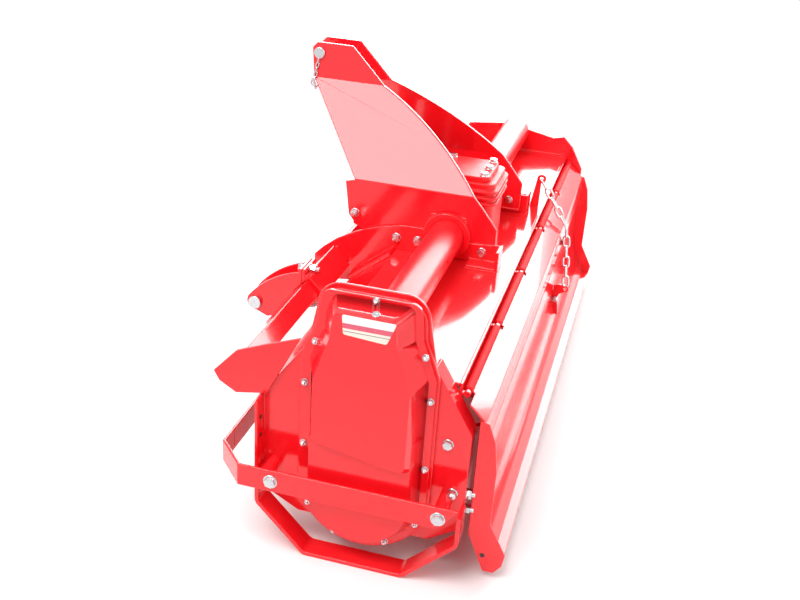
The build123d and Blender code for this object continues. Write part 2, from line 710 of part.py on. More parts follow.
with BuildPart() as hinge_rod:
    with BuildSketch(across(bar_start)):
        with Locations((HINGE_Y, HINGE_Z)):
            Circle(HINGE_RADIUS)
    extrude(amount=bar_length)
save(hinge_rod.part, "hinge_rod")

# Front beam, a square tube set on edge, and the plates that hold its ends
with BuildPart() as front_beam:
    with BuildSketch(across(-HALF_WIDTH)):
        with Locations(Location((BEAM_Y, BEAM_Z), 45)):
            Rectangle(BEAM_SIDE, BEAM_SIDE)
            Rectangle(BEAM_SIDE - 2 * BEAM_WALL, BEAM_SIDE - 2 * BEAM_WALL, mode=Mode.SUBTRACT)
    extrude(amount=2 * HALF_WIDTH)
save(front_beam.part, "front_beam")

END_NOSE = 43.0             # beam's middle to the front of its end plate
END_RISE = 48.0
END_DROP = 37.0
END_BROW_Y = -187.0
END_BROW_Z = 407.0
END_TAIL_Y = -125.0
END_TAIL_Z = 431.0
END_FOOT_Y = -186.0
END_FOOT_Z = 309.0

for side in (1, -1):
    with BuildPart() as end_plate:
        with BuildSketch(across(side * HALF_WIDTH)):
            with BuildLine():
                Polyline(
                    (BEAM_Y - END_NOSE, BEAM_Z),
                    (BEAM_Y, BEAM_Z + END_RISE),
                    (END_BROW_Y, END_BROW_Z),
                    (END_TAIL_Y, END_TAIL_Z),
                    (END_FOOT_Y, END_FOOT_Z),
                    (BEAM_Y, BEAM_Z - END_DROP),
                    (BEAM_Y - END_NOSE * 0.75, BEAM_Z - END_DROP / 2),
                    close=True,
                )
            make_face()
        extrude(amount=side * MAST_SHEET)
    save(end_plate.part, f"end_plate_{side_name(side)}")

# Lower hitch clevises, clamped to the beam
ear_offset = CLAMP_WIDTH / 2 - EAR_SHEET

for side in (1, -1):
    middle_x = HITCH_X + side * LOWER_SPREAD / 2
    with BuildPart() as clevis:
        with BuildSketch(across(middle_x - CLAMP_WIDTH / 2)):
            with Locations((CLAMP_SPLIT_Y - CLAMP_SHEET / 2, (CLAMP_TOP_Z + CLAMP_BOTTOM_Z) / 2)):
                Rectangle(CLAMP_SHEET, CLAMP_TOP_Z - CLAMP_BOTTOM_Z)
            with Locations(Location((BEAM_Y, BEAM_Z), 45)):
                Rectangle(BEAM_SIDE + 2 * SEAT_GAP, BEAM_SIDE + 2 * SEAT_GAP, mode=Mode.SUBTRACT)
        extrude(amount=CLAMP_WIDTH)
        for ear_x in (middle_x - CLAMP_WIDTH / 2, middle_x + ear_offset):
            with BuildSketch(across(ear_x)):
                with BuildLine():
                    ThreePointArc(
                        (LOWER_PIN_Y - 0.8 * EAR_NOSE_RADIUS, LOWER_PIN_Z + 0.6 * EAR_NOSE_RADIUS),
                        (EAR_BACK_Y, EAR_BACK_Z),
                        (CLAMP_SPLIT_Y, CLAMP_TOP_Z - EAR_STEP),
                    )
                    Polyline(
                        (CLAMP_SPLIT_Y, CLAMP_TOP_Z - EAR_STEP),
                        (CLAMP_SPLIT_Y, CLAMP_BOTTOM_Z),
                        (EAR_HEEL_Y, EAR_HEEL_Z),
                        (LOWER_PIN_Y, LOWER_PIN_Z - EAR_NOSE_RADIUS),
                        (LOWER_PIN_Y - 0.8 * EAR_NOSE_RADIUS, LOWER_PIN_Z + 0.6 * EAR_NOSE_RADIUS),
                    )
                make_face()
                with Locations((LOWER_PIN_Y, LOWER_PIN_Z)):
                    Circle(EAR_NOSE_RADIUS)
                with Locations((LOWER_PIN_Y, LOWER_PIN_Z)):
                    Circle(LOWER_PIN_RADIUS + SEAT_GAP, mode=Mode.SUBTRACT)
                with Locations(Location((BEAM_Y, BEAM_Z), 45)):
                    Rectangle(BEAM_SIDE + 2 * SEAT_GAP, BEAM_SIDE + 2 * SEAT_GAP, mode=Mode.SUBTRACT)
            extrude(amount=EAR_SHEET)
    save(clevis.part, f"lower_clevis_{side_name(side)}")

    with BuildPart() as strap:
        with BuildSketch(across(middle_x - CLAMP_WIDTH / 2)):
            with Locations((CLAMP_SPLIT_Y + CLAMP_SHEET / 2, (CLAMP_TOP_Z + CLAMP_BOTTOM_Z) / 2)):
                Rectangle(CLAMP_SHEET, CLAMP_TOP_Z - CLAMP_BOTTOM_Z)
            with Locations(Location((BEAM_Y, BEAM_Z), 45)):
                Rectangle(BEAM_SIDE + 2 * CLAMP_SHEET, BEAM_SIDE + 2 * CLAMP_SHEET)
                Rectangle(BEAM_SIDE + 2 * SEAT_GAP, BEAM_SIDE + 2 * SEAT_GAP, mode=Mode.SUBTRACT)
            with Locations((CLAMP_SPLIT_Y - 50, BEAM_Z)):
                Rectangle(100, 200, mode=Mode.SUBTRACT)
        extrude(amount=CLAMP_WIDTH)
        with BuildSketch(across(middle_x + side * CLAMP_WIDTH / 2)):
            with Locations(Location((BEAM_Y, BEAM_Z), 45)):
                Rectangle(BEAM_SIDE + 2 * CLAMP_SHEET, BEAM_SIDE + 2 * CLAMP_SHEET)
                Rectangle(BEAM_SIDE + 2 * SEAT_GAP, BEAM_SIDE + 2 * SEAT_GAP, mode=Mode.SUBTRACT)
            with Locations((CLAMP_SPLIT_Y - 50, BEAM_Z)):
                Rectangle(100, 200, mode=Mode.SUBTRACT)
        extrude(amount=-side * STRAP_WIDTH)
    save(strap.part, f"clevis_strap_{side_name(side)}")

    with BuildPart() as pin:
        with BuildSketch(across(middle_x - side * (CLAMP_WIDTH / 2 + PIN_TAIL))):
            with Locations((LOWER_PIN_Y, LOWER_PIN_Z)):
                Circle(LOWER_PIN_RADIUS)
        extrude(amount=side * (CLAMP_WIDTH + PIN_TAIL))
        with BuildSketch(across(middle_x + side * CLAMP_WIDTH / 2)):
            with Locations((LOWER_PIN_Y, LOWER_PIN_Z)):
                Circle(LOWER_PIN_RADIUS + PIN_HEAD_EXTRA)
        extrude(amount=side * PIN_HEAD)
    save(pin.part, f"lower_pin_{side_name(side)}")

# Skids
for side in (1, -1):
    with BuildPart() as skid:
        with BuildSketch(across(side * HALF_WIDTH)):
            with BuildLine():
                FilletPolyline(
                    (SKID_FRONT_Y + SKID_SHEET / 2, SKID_BEND_Z + SKID_LUG),
                    (SKID_FRONT_Y + SKID_SHEET / 2, SKID_BEND_Z),
                    (SKID_FLAT_FRONT, SKID_SHEET / 2),
                    (SKID_FLAT_REAR, SKID_SHEET / 2),
                    (SKID_REAR_Y, SKID_BEND_Z),
                    (SKID_REAR_Y, SKID_BEND_Z + SKID_LUG),
                    radius=18,
                )
            trace(line_width=SKID_SHEET)
        extrude(amount=side * SKID_WIDTH)
    save(skid.part, f"skid_{side_name(side)}")

# Guard straps beside the plates and the guard bar in front of the rotor
for side in (1, -1):
    strap_x = HALF_WIDTH + GUARD_GAP + GUARD_SHEET / 2
    with BuildPart() as guard:
        with BuildSketch(level(GUARD_Z - GUARD_HEIGHT / 2)):
            with BuildLine():
                Polyline(
                    (side * strap_x, GUARD_REAR_Y),
                    (side * strap_x, GUARD_CORNER_Y),
                    (side * GUARD_BAR_X, GUARD_BAR_Y),
                    (side * (GUARD_BAR_X - 40), GUARD_BAR_Y),
                )
            trace(line_width=GUARD_SHEET)
        extrude(amount=GUARD_HEIGHT)
        with BuildSketch(across(side * HALF_WIDTH)):
            with BuildLine():
                Polyline(
                    (GUARD_REAR_Y, GUARD_Z + GUARD_HEIGHT / 2),
                    (GUARD_REAR_Y, GUARD_Z - GUARD_HEIGHT / 2),
                    (GUARD_REAR_Y - GUARD_SLANT, GUARD_Z - GUARD_HEIGHT / 2),
                    close=True,
                )
            make_face()
        extrude(amount=side * (GUARD_GAP + GUARD_SHEET), mode=Mode.SUBTRACT)
        with BuildSketch(across(side * HALF_WIDTH)):
            with Locations((GUARD_FRONT_POST_Y, GUARD_Z), (GUARD_REAR_POST_Y, GUARD_Z)):
                Circle(GUARD_POST_RADIUS)
        extrude(amount=side * GUARD_GAP)
    save(guard.part, f"guard_strap_{side_name(side)}")

with BuildPart() as guard_bar:
    with BuildSketch(level(GUARD_Z - GUARD_HEIGHT / 2)):
        with Locations((0, GUARD_BAR_Y)):
            Rectangle(2 * (GUARD_BAR_X - 40), GUARD_SHEET)
    extrude(amount=GUARD_HEIGHT)
save(guard_bar.part, "guard_bar")

# Levelling board
curl_mid = HINGE_RADIUS + RUNNING_GAP + BOARD_SHEET / 2
facet = atan2(BOARD_KNEE_Z - HINGE_Z, BOARD_KNEE_Y - HINGE_Y)
facet_start = (HINGE_Y - curl_mid * sin(facet), HINGE_Z + curl_mid * cos(facet))
board_half = HALF_WIDTH - SIDE_SHEET - BOARD_SIDE_GAP - BOARD_SHEET

with BuildPart() as levelling_board:
    with BuildSketch(across(-board_half)):
        with BuildLine():
            Polyline(
                facet_start,
                (BOARD_KNEE_Y, BOARD_KNEE_Z),
                (BOARD_FOLD_Y, BOARD_FOLD_Z),
                (BOARD_WAIST_Y, BOARD_WAIST_Z),
                (BOARD_BELLY_Y, BOARD_BELLY_Z),
                (BOARD_FLARE_Y, BOARD_FLARE_Z),
                (BOARD_RIM_Y, BOARD_RIM_Z),
                (BOARD_LIP_Y, BOARD_LIP_Z),
            )
        trace(line_width=BOARD_SHEET)
        with Locations((HINGE_Y, HINGE_Z)):
            Circle(curl_mid + BOARD_SHEET / 2)
            Circle(curl_mid - BOARD_SHEET / 2, mode=Mode.SUBTRACT)
    extrude(amount=2 * board_half)
    for x in lug_x:
        with BuildSketch(across(x - HINGE_LUG_WIDTH / 2 - HINGE_LUG_GAP)):
            with Locations((HINGE_Y, HINGE_Z)):
                Circle(HINGE_NOTCH)
        extrude(amount=HINGE_LUG_WIDTH + 2 * HINGE_LUG_GAP, mode=Mode.SUBTRACT)
    with BuildSketch(across(bar_start + bar_length)):
        with Locations((HINGE_Y, HINGE_Z)):
            Circle(HINGE_NOTCH)
    extrude(amount=2 * PLATE_LIP, mode=Mode.SUBTRACT)
save(levelling_board.part, "levelling_board")

END_INSET = 8.0             # front edge of an end plate before the knee
END_PROUD = 16.0            # how far it stands behind the sheet
END_BACK_Y = 235.0
END_BACK_Z = 118.0
END_TOE_REAR_Y = 250.0
END_TOE_FRONT_Y = 230.0
END_TOE_Z = 14.0
END_FRONT_Z = 90.0

for side in (1, -1):
    with BuildPart() as board_end:
        with BuildSketch(across(side * board_half)):
            with BuildLine():
                Polyline(
                    (BOARD_KNEE_Y - END_INSET, BOARD_KNEE_Z + BOARD_SHEET),
                    (BOARD_KNEE_Y + END_PROUD / 2, BOARD_KNEE_Z),
                    (BOARD_FOLD_Y + END_PROUD, BOARD_FOLD_Z),
                    (END_BACK_Y, BOARD_WAIST_Z),
                    (END_BACK_Y, END_BACK_Z),
                    (BOARD_END_Y, BOARD_RIM_Z + END_PROUD),
                    (BOARD_LIP_Y, BOARD_LIP_Z - BOARD_SHEET),
                    (END_TOE_REAR_Y, END_TOE_Z),
                    (END_TOE_FRONT_Y, END_TOE_Z),
                    (BOARD_KNEE_Y - END_INSET, END_FRONT_Z),
                    close=True,
                )
            make_face()
        extrude(amount=side * BOARD_SHEET)
    save(board_end.part, f"board_end_{side_name(side)}")

# Chain that holds the board up, from its bracket on the hood to its hook on the board
CHAIN_X = -262.0
CHAIN_WIRE = 5.0
LINK_INNER = 25.0
LINK_SLOT = 9.0
UPPER_LINKS = 6
LOWER_LINKS = 7
CHAIN_STAND_OFF = 13.0      # the chain's bend behind the knee of the board
CHAIN_RISE = 8.0
CHAIN_SLOPE = 56.3          # degrees down from level, towards the rear
CHAIN_HANG = 83.7
CHAIN_HOLE = 4.6
BRACKET_SHEET = 5.0
BRACKET_WIDTH = 22.0
HOOK_REACH = 22.0
HOOK_NOSE = 9.0
link_pitch = LINK_INNER - LINK_SLOT / 2 + CHAIN_WIRE / 2
link_end = LINK_INNER / 2 + CHAIN_WIRE / 2
chain_bend = Vector(BOARD_KNEE_Y + CHAIN_STAND_OFF, BOARD_KNEE_Z + CHAIN_RISE)
upper_way = Vector(cos(radians(CHAIN_SLOPE)), -sin(radians(CHAIN_SLOPE)))
lower_way = Vector(cos(radians(CHAIN_HANG)), -sin(radians(CHAIN_HANG)))
upper_length = link_end + (UPPER_LINKS - 1) * link_pitch + LINK_INNER / 2 - LINK_SLOT / 2
lower_length = 2 * link_end + (LOWER_LINKS - 1) * link_pitch
chain_top = chain_bend - upper_way * upper_length
chain_foot = chain_bend + lower_way * lower_length

with BuildPart() as chain_bracket:
    with BuildSketch(across(CHAIN_X - BRACKET_SHEET / 2)):
        with BuildLine():
            Polyline(
                (chain_top.X - BRACKET_WIDTH, HOOD_TOP_Z),
                (chain_top.X - BRACKET_WIDTH / 2, chain_top.Y),
                (chain_top.X, chain_top.Y - BRACKET_WIDTH / 4),
                (chain_top.X, HOOD_TOP_Z),
                close=True,
            )
        make_face()
        with Locations((chain_top.X, chain_top.Y)):
            Circle(BRACKET_WIDTH / 2)
            Circle(CHAIN_HOLE, mode=Mode.SUBTRACT)
    extrude(amount=BRACKET_SHEET)
save(chain_bracket.part, "chain_bracket")

with BuildPart() as board_hook:
    with BuildSketch(across(CHAIN_X - BRACKET_SHEET / 2)):
        with BuildLine():
            Polyline(
                (BOARD_FLARE_Y, BOARD_FLARE_Z),
                (BOARD_BELLY_Y, BOARD_BELLY_Z),
                (chain_foot.X, chain_foot.Y + HOOK_NOSE),
                (chain_foot.X + HOOK_NOSE, chain_foot.Y),
                (chain_foot.X + HOOK_NOSE, chain_foot.Y - HOOK_REACH),
                close=True,
            )
        make_face()
        with Locations((chain_foot.X, chain_foot.Y)):
            Circle(HOOK_NOSE)
        with BuildLine():
            Polyline(
                (BOARD_WAIST_Y, BOARD_WAIST_Z),
                (BOARD_BELLY_Y, BOARD_BELLY_Z),
                (BOARD_FLARE_Y, BOARD_FLARE_Z),
                (BOARD_RIM_Y, BOARD_RIM_Z),
            )
        trace(line_width=BOARD_SHEET, mode=Mode.SUBTRACT)
        with Locations((chain_foot.X, chain_foot.Y)):
            Circle(CHAIN_HOLE, mode=Mode.SUBTRACT)
    extrude(amount=BRACKET_SHEET)
save(board_hook.part, "board_hook")


def chain_run(start, way, count):
    """Links in a row from start, the first across the machine, each turned a quarter."""
    tilt = degrees(atan2(way.Y, way.X))
    with BuildPart(mode=Mode.PRIVATE) as link:
        with BuildSketch():
            SlotOverall(LINK_INNER + 2 * CHAIN_WIRE, LINK_SLOT + 2 * CHAIN_WIRE)
            SlotOverall(LINK_INNER, LINK_SLOT, mode=Mode.SUBTRACT)
        extrude(amount=CHAIN_WIRE / 2, both=True)
    links = []
    for i in range(count):
        middle = start + way * (link_end + i * link_pitch)
        place = Location((middle.X, middle.Y, 0), (0, 0, tilt))
        turn = Location((0, 0, 0), (90 - 90 * (i % 2), 0, 0))
        links.append((across(CHAIN_X).location * place * turn) * link.part)
    return Compound(children=links)


save(chain_run(chain_top, upper_way, UPPER_LINKS), "chain_upper")
save(chain_run(chain_bend, lower_way, LOWER_LINKS), "chain_lower")

# Rotor: a tube, and discs on it that carry the tines
with BuildPart() as rotor_shaft:
    with BuildSketch(across(-rotor_half)):
        with Locations((0, ROTOR_Z)):
            Circle(ROTOR_TUBE_RADIUS)
    extrude(amount=2 * rotor_half)
    with BuildSketch(across(-HALF_WIDTH - STUB_PAST_FAR)):
        with Locations((0, ROTOR_Z)):
            Circle(STUB_RADIUS)
    extrude(amount=2 * HALF_WIDTH + STUB_PAST_FAR + STUB_PAST_DRIVE)
save(rotor_shaft.part, "rotor_shaft")


def tine(disc_x, hand, angle):
    """One L-shaped tine on the hand side of a disc, turned by angle about the rotor."""
    foot_x = disc_x + hand * (DISC_SHEET + TINE_SHEET) / 2
    with BuildPart(mode=Mode.PRIVATE) as blade:
        with BuildSketch(facing(TINE_WIDTH / 2)):
            with BuildLine():
                FilletPolyline(
                    (foot_x, ROTOR_Z + TINE_ROOT),
                    (foot_x, ROTOR_Z + ROTOR_RADIUS - TINE_SHEET),
                    (foot_x + hand * TINE_WING, ROTOR_Z + ROTOR_RADIUS - TINE_SHEET),
                    radius=24,
                )
            trace(line_width=TINE_SHEET)
        extrude(amount=TINE_WIDTH)
        with BuildSketch(across(-HALF_WIDTH)):
            with Locations((0, ROTOR_Z)):
                Circle(ROTOR_RADIUS)
        extrude(amount=2 * HALF_WIDTH, mode=Mode.INTERSECT)
    return blade.part.rotate(Axis((0, AXIS_Y, ROTOR_Z), (1, 0, 0)), angle)


rings = []
for disc in range(DISC_COUNT):
    disc_x = disc_span * (disc / (DISC_COUNT - 1) - 0.5)
    blades = [tine(disc_x, 1 if index % 2 else -1, 90 * index + 360 / 28 * disc) for index in range(4)]
    with BuildPart() as ring:
        with BuildSketch(across(disc_x - DISC_SHEET / 2)):
            with Locations((0, ROTOR_Z)):
                Circle(DISC_RADIUS)
                Circle(ROTOR_TUBE_RADIUS + SEAT_GAP, mode=Mode.SUBTRACT)
        extrude(amount=DISC_SHEET)
        add(blades)
    rings.append(ring.part)
save(Compound(children=rings), "rotor_tines")
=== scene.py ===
import bpy
import bmesh
import json
import math
from mathutils import Matrix, Vector
from mathutils.bvhtree import BVHTree


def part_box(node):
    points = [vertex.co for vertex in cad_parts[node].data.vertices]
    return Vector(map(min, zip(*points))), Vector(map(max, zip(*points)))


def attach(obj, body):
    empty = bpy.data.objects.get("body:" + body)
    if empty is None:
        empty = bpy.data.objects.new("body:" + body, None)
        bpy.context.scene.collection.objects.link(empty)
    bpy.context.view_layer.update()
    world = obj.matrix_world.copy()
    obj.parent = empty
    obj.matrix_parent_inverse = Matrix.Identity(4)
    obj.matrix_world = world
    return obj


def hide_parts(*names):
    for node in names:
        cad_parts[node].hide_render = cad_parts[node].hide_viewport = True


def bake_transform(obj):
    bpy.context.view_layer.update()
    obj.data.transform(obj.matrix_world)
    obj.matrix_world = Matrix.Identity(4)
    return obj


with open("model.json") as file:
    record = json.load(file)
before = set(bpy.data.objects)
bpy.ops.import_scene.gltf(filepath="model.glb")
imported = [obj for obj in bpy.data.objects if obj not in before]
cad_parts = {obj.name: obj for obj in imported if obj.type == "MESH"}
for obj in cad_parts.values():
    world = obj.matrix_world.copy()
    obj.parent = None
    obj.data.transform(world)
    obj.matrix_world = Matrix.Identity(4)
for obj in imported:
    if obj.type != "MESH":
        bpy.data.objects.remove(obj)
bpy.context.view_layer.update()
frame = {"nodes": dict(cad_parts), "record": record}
nodes = frame["nodes"]

mm = 0.001
samePoint = 0.00001             # points nearer than this are one, in metres
flatAngle = math.radians(0.5)   # faces that meet flatter than this are one
sides = ((1, "drive"), (-1, "far"))

# The part's own places: the rotor and the axle tube stand at axleY
hitchX = -28    # gearbox and mast, in mm from the middle
rotorZ = 175    # rotor's axis, in mm above the floor
axleY = (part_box("axle_tube_drive")[0].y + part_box("axle_tube_drive")[1].y) / 2
axleZ = (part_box("axle_tube_drive")[0].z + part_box("axle_tube_drive")[1].z) / 2


def sideView(x, y, z):  # a point given in mm, y counted from the axle tube
    return Vector((x * mm, axleY + y * mm, z * mm))


# Materials

def newGroup(name, inputs, outputs):
    group = bpy.data.node_groups.new(name, "ShaderNodeTree")
    for label, kind, value in inputs:
        socket = group.interface.new_socket(label, in_out="INPUT", socket_type=kind)
        socket.default_value = value
    for label, kind in outputs:
        group.interface.new_socket(label, in_out="OUTPUT", socket_type=kind)
    start = group.nodes.new("NodeGroupInput")
    end = group.nodes.new("NodeGroupOutput")
    return group, start, end


def addNode(tree, kind, values=None, **settings):
    node = tree.nodes.new(kind)
    for key, value in settings.items():
        setattr(node, key, value)
    for label, value in (values or {}).items():
        node.inputs[label].default_value = value
    return node


def addNoise(tree, place, values):
    noise = addNode(tree, "ShaderNodeTexNoise", values)
    tree.links.new(place, noise.inputs["Vector"])
    return noise


def combine(tree, operation, first, second):
    node = addNode(tree, "ShaderNodeMath", operation=operation)
    tree.links.new(first, node.inputs[0])
    tree.links.new(second, node.inputs[1])
    return node.outputs["Value"]


enamel = {"shadeScale": 3.5, "darkest": 0.94, "lightest": 1.04, "dust": (0.62, 0.5, 0.42, 1),
          "patchScale": 14, "dustFrom": 0.75, "glossLow": 0.85, "glossHigh": 1.2}


def buildPaintGroup():
    # Sprayed enamel: a fine orange peel, slow changes of shade, a little dust on what faces up
    group, start, end = newGroup(
        "sprayedEnamel",
        [("Paint", "NodeSocketColor", (0.8, 0.01, 0.015, 1)), ("Gloss", "NodeSocketFloat", 0.2),
         ("Peel Scale", "NodeSocketFloat", 260), ("Dust", "NodeSocketFloat", 0.1)],
        [("Color", "NodeSocketColor"), ("Roughness", "NodeSocketFloat"),
         ("Height", "NodeSocketFloat")])
    link = group.links.new
    place = addNode(group, "ShaderNodeTexCoord").outputs["Object"]
    slow = addNoise(group, place, {"Scale": enamel["shadeScale"], "Detail": 3})
    shade = addNode(group, "ShaderNodeMapRange",
                    {"From Min": 0.3, "From Max": 0.7,
                     "To Min": enamel["darkest"], "To Max": enamel["lightest"]})
    link(slow.outputs["Fac"], shade.inputs["Value"])
    tint = addNode(group, "ShaderNodeVectorMath", operation="SCALE")
    link(start.outputs["Paint"], tint.inputs[0])
    link(shade.outputs["Result"], tint.inputs["Scale"])
    # dust gathers on level faces, in patches
    facing = addNode(group, "ShaderNodeNewGeometry")
    upward = addNode(group, "ShaderNodeSeparateXYZ")
    link(facing.outputs["Normal"], upward.inputs["Vector"])
    patches = addNoise(group, place, {"Scale": enamel["patchScale"], "Detail": 6})
    level = addNode(group, "ShaderNodeMapRange", {"From Min": enamel["dustFrom"], "From Max": 1})
    link(upward.outputs["Z"], level.inputs["Value"])
    patchy = combine(group, "MULTIPLY", level.outputs["Result"], patches.outputs["Fac"])
    amount = combine(group, "MULTIPLY", patchy, start.outputs["Dust"])
    mix = addNode(group, "ShaderNodeMix", {"B": enamel["dust"]}, data_type="RGBA")
    link(amount, mix.inputs["Factor"])
    link(tint.outputs["Vector"], mix.inputs["A"])
    link(mix.outputs["Result"], end.inputs["Color"])
    # the gloss is a little uneven, and dusty paint is duller
    uneven = addNode(group, "ShaderNodeMapRange",
                     {"To Min": enamel["glossLow"], "To Max": enamel["glossHigh"]})
    link(patches.outputs["Fac"], uneven.inputs["Value"])
    rough = combine(group, "MULTIPLY", start.outputs["Gloss"], uneven.outputs["Result"])
    link(combine(group, "ADD", rough, amount), end.inputs["Roughness"])
    peel = addNoise(group, place, {"Detail": 1})
    link(start.outputs["Peel Scale"], peel.inputs["Scale"])
    link(peel.outputs["Fac"], end.inputs["Height"])
    return group


plating = {"stainFrom": 0.5, "stainFull": 0.75, "mottleRough": 0.2, "marksScale": 900}


def buildPlateGroup():
    # Plated or bare steel, plastic and labels: soft mottling, fine marks and a few dull spots
    group, start, end = newGroup(
        "platedSteel",
        [("Metal", "NodeSocketColor", (0.7, 0.72, 0.75, 1)),
         ("Stain", "NodeSocketColor", (0.4, 0.36, 0.28, 1)), ("Gloss", "NodeSocketFloat", 0.25),
         ("Mottle Scale", "NodeSocketFloat", 90), ("Staining", "NodeSocketFloat", 0.2)],
        [("Color", "NodeSocketColor"), ("Roughness", "NodeSocketFloat"),
         ("Height", "NodeSocketFloat")])
    link = group.links.new
    place = addNode(group, "ShaderNodeTexCoord").outputs["Object"]
    mottle = addNoise(group, place, {"Detail": 4})
    link(start.outputs["Mottle Scale"], mottle.inputs["Scale"])
    spots = addNode(group, "ShaderNodeMapRange",
                    {"From Min": plating["stainFrom"], "From Max": plating["stainFull"]})
    link(mottle.outputs["Fac"], spots.inputs["Value"])
    amount = combine(group, "MULTIPLY", spots.outputs["Result"], start.outputs["Staining"])
    mix = addNode(group, "ShaderNodeMix", data_type="RGBA")
    link(amount, mix.inputs["Factor"])
    link(start.outputs["Metal"], mix.inputs["A"])
    link(start.outputs["Stain"], mix.inputs["B"])
    link(mix.outputs["Result"], end.inputs["Color"])
    rough = addNode(group, "ShaderNodeMath", {1: plating["mottleRough"]},
                    operation="MULTIPLY_ADD")
    link(mottle.outputs["Fac"], rough.inputs[0])
    link(start.outputs["Gloss"], rough.inputs[2])
    link(rough.outputs["Value"], end.inputs["Roughness"])
    marks = addNoise(group, place, {"Scale": plating["marksScale"]})
    link(marks.outputs["Fac"], end.inputs["Height"])
    return group


paintGroup = buildPaintGroup()
plateGroup = buildPlateGroup()


def newMaterial(name, group, values, relief, surface):  # relief is strength and distance
    material = bpy.data.materials.new(name)
    material.use_nodes = True
    tree = material.node_tree
    shader = tree.nodes["Principled BSDF"]
    skin = addNode(tree, "ShaderNodeGroup", values, node_tree=group)
    bump = addNode(tree, "ShaderNodeBump", {"Strength": relief[0], "Distance": relief[1]})
    tree.links.new(skin.outputs["Color"], shader.inputs["Base Color"])
    tree.links.new(skin.outputs["Roughness"], shader.inputs["Roughness"])
    tree.links.new(skin.outputs["Height"], bump.inputs["Height"])
    tree.links.new(bump.outputs["Normal"], shader.inputs["Normal"])
    for label, value in surface.items():
        shader.inputs[label].default_value = value
    return material


redPaint = newMaterial(
    "redPaint", paintGroup,
    {"Paint": (0.93, 0.010, 0.018, 1), "Gloss": 0.11, "Peel Scale": 210, "Dust": 0.03},
    (0.05, 0.0006), {"Coat Weight": 0.35, "Coat Roughness": 0.03, "Specular IOR Level": 0.5})
castPaint = newMaterial(
    "castPaint", paintGroup,
    {"Paint": (0.86, 0.009, 0.016, 1), "Gloss": 0.42, "Peel Scale": 420, "Dust": 0.08},
    (0.45, 0.0012), {"Coat Weight": 0.12, "Coat Roughness": 0.2, "Specular IOR Level": 0.4})
# a darker, matt copy of the red paint for the hinge barrels: the same paint, its darker colour is
# painted shade
shadedDullPaint = newMaterial(
    "shadedDullPaint", paintGroup,
    {"Paint": (0.78, 0.005, 0.011, 1), "Gloss": 0.6, "Peel Scale": 300, "Dust": 0.02},
    (0.1, 0.0006), {"Coat Weight": 0.0, "Specular IOR Level": 0.15})
tubePaint = newMaterial(
    "tubePaint", paintGroup,
    {"Paint": (0.93, 0.010, 0.018, 1), "Gloss": 0.28, "Peel Scale": 210, "Dust": 0.03},
    (0.05, 0.0006), {"Coat Weight": 0.06, "Coat Roughness": 0.1, "Specular IOR Level": 0.4})
tineSteel = newMaterial(
    "tineSteel", paintGroup,
    {"Paint": (0.80, 0.010, 0.016, 1), "Gloss": 0.3, "Peel Scale": 160, "Dust": 0.12},
    (0.3, 0.0015), {"Coat Weight": 0.3, "Coat Roughness": 0.15, "Specular IOR Level": 0.5})
zincSteel = newMaterial(
    "zincSteel", plateGroup,
    {"Metal": (0.66, 0.67, 0.69, 1), "Stain": (0.46, 0.44, 0.40, 1), "Gloss": 0.14,
     "Mottle Scale": 160, "Staining": 0.5},
    (0.08, 0.0004), {"Metallic": 1.0})
bareSteel = newMaterial(
    "bareSteel", plateGroup,
    {"Metal": (0.58, 0.58, 0.58, 1), "Stain": (0.30, 0.24, 0.17, 1), "Gloss": 0.26,
     "Mottle Scale": 60, "Staining": 0.6},
    (0.15, 0.0005), {"Metallic": 1.0})
# black plastic for the plastic parts, also used for the thin discs that are painted shade in the
# open holes
blackPlasticAndHoleShade = newMaterial(
    "blackPlasticAndHoleShade", plateGroup,
    {"Metal": (0.018, 0.018, 0.019, 1), "Stain": (0.05, 0.045, 0.04, 1), "Gloss": 0.38,
     "Mottle Scale": 30, "Staining": 0.3},
    (0.25, 0.0005), {"Metallic": 0.0})

labelInks = {  # each ink and its worn shade
    "blankLabel": ((0.86, 0.86, 0.84, 1), (0.74, 0.73, 0.70, 1)),
    "labelBand": ((0.72, 0.10, 0.16, 1), (0.62, 0.09, 0.13, 1)),
    "labelLine": ((0.25, 0.23, 0.24, 1), (0.30, 0.26, 0.26, 1)),
    "labelCream": ((0.86, 0.76, 0.66, 1), (0.80, 0.68, 0.58, 1))}
labelMaterials = [
    newMaterial(
        name, plateGroup,
        {"Metal": ink, "Stain": worn, "Gloss": 0.18, "Mottle Scale": 25, "Staining": 0.4},
        (0.04, 0.0003), {"Metallic": 0.0, "Coat Weight": 0.3, "Coat Roughness": 0.08})
    for name, (ink, worn) in labelInks.items()]

slotMaterials = {"red_paint": redPaint, "cast_paint": castPaint, "zinc_steel": zincSteel,
                 "bare_steel": bareSteel, "tine_steel": tineSteel, "black_plastic": blackPlasticAndHoleShade}
for row in frame["record"]["subparts"]:
    node = nodes[row["node"]]
    node.data.materials.clear()
    node.data.materials.append(slotMaterials[row["material_slot"]])
nodes["hinge_rod"].data.materials[0] = redPaint  # sprayed over together with its lugs
print("materials done")


# Pieces

def newPiece(name, shape, materials, body):
    data = bpy.data.meshes.new(name)
    shape.to_mesh(data)
    shape.free()
    for material in materials:
        data.materials.append(material)
    piece = bpy.data.objects.new(name, data)
    bpy.context.scene.collection.objects.link(piece)
    if body:
        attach(piece, body)
    return piece


def smoothByAngle(piece, angle=35):
    piece.data.shade_smooth()
    piece.data.set_sharp_from_angle(angle=math.radians(angle))


def evenShading(piece):  # flat faces stay flat beside their rounded edges
    shading = piece.modifiers.new("shading", "WEIGHTED_NORMAL")
    shading.weight = 80


edgeAngle = 25  # edges sharper than this are broken, in degrees


def breakEdges(piece, width, segments=2):
    piece.data.shade_smooth()
    edges = piece.modifiers.new("edges", "BEVEL")
    edges.width = width * mm
    edges.segments = segments
    edges.limit_method = "ANGLE"
    edges.angle_limit = math.radians(edgeAngle)
    edges.use_clamp_overlap = False
    evenShading(piece)


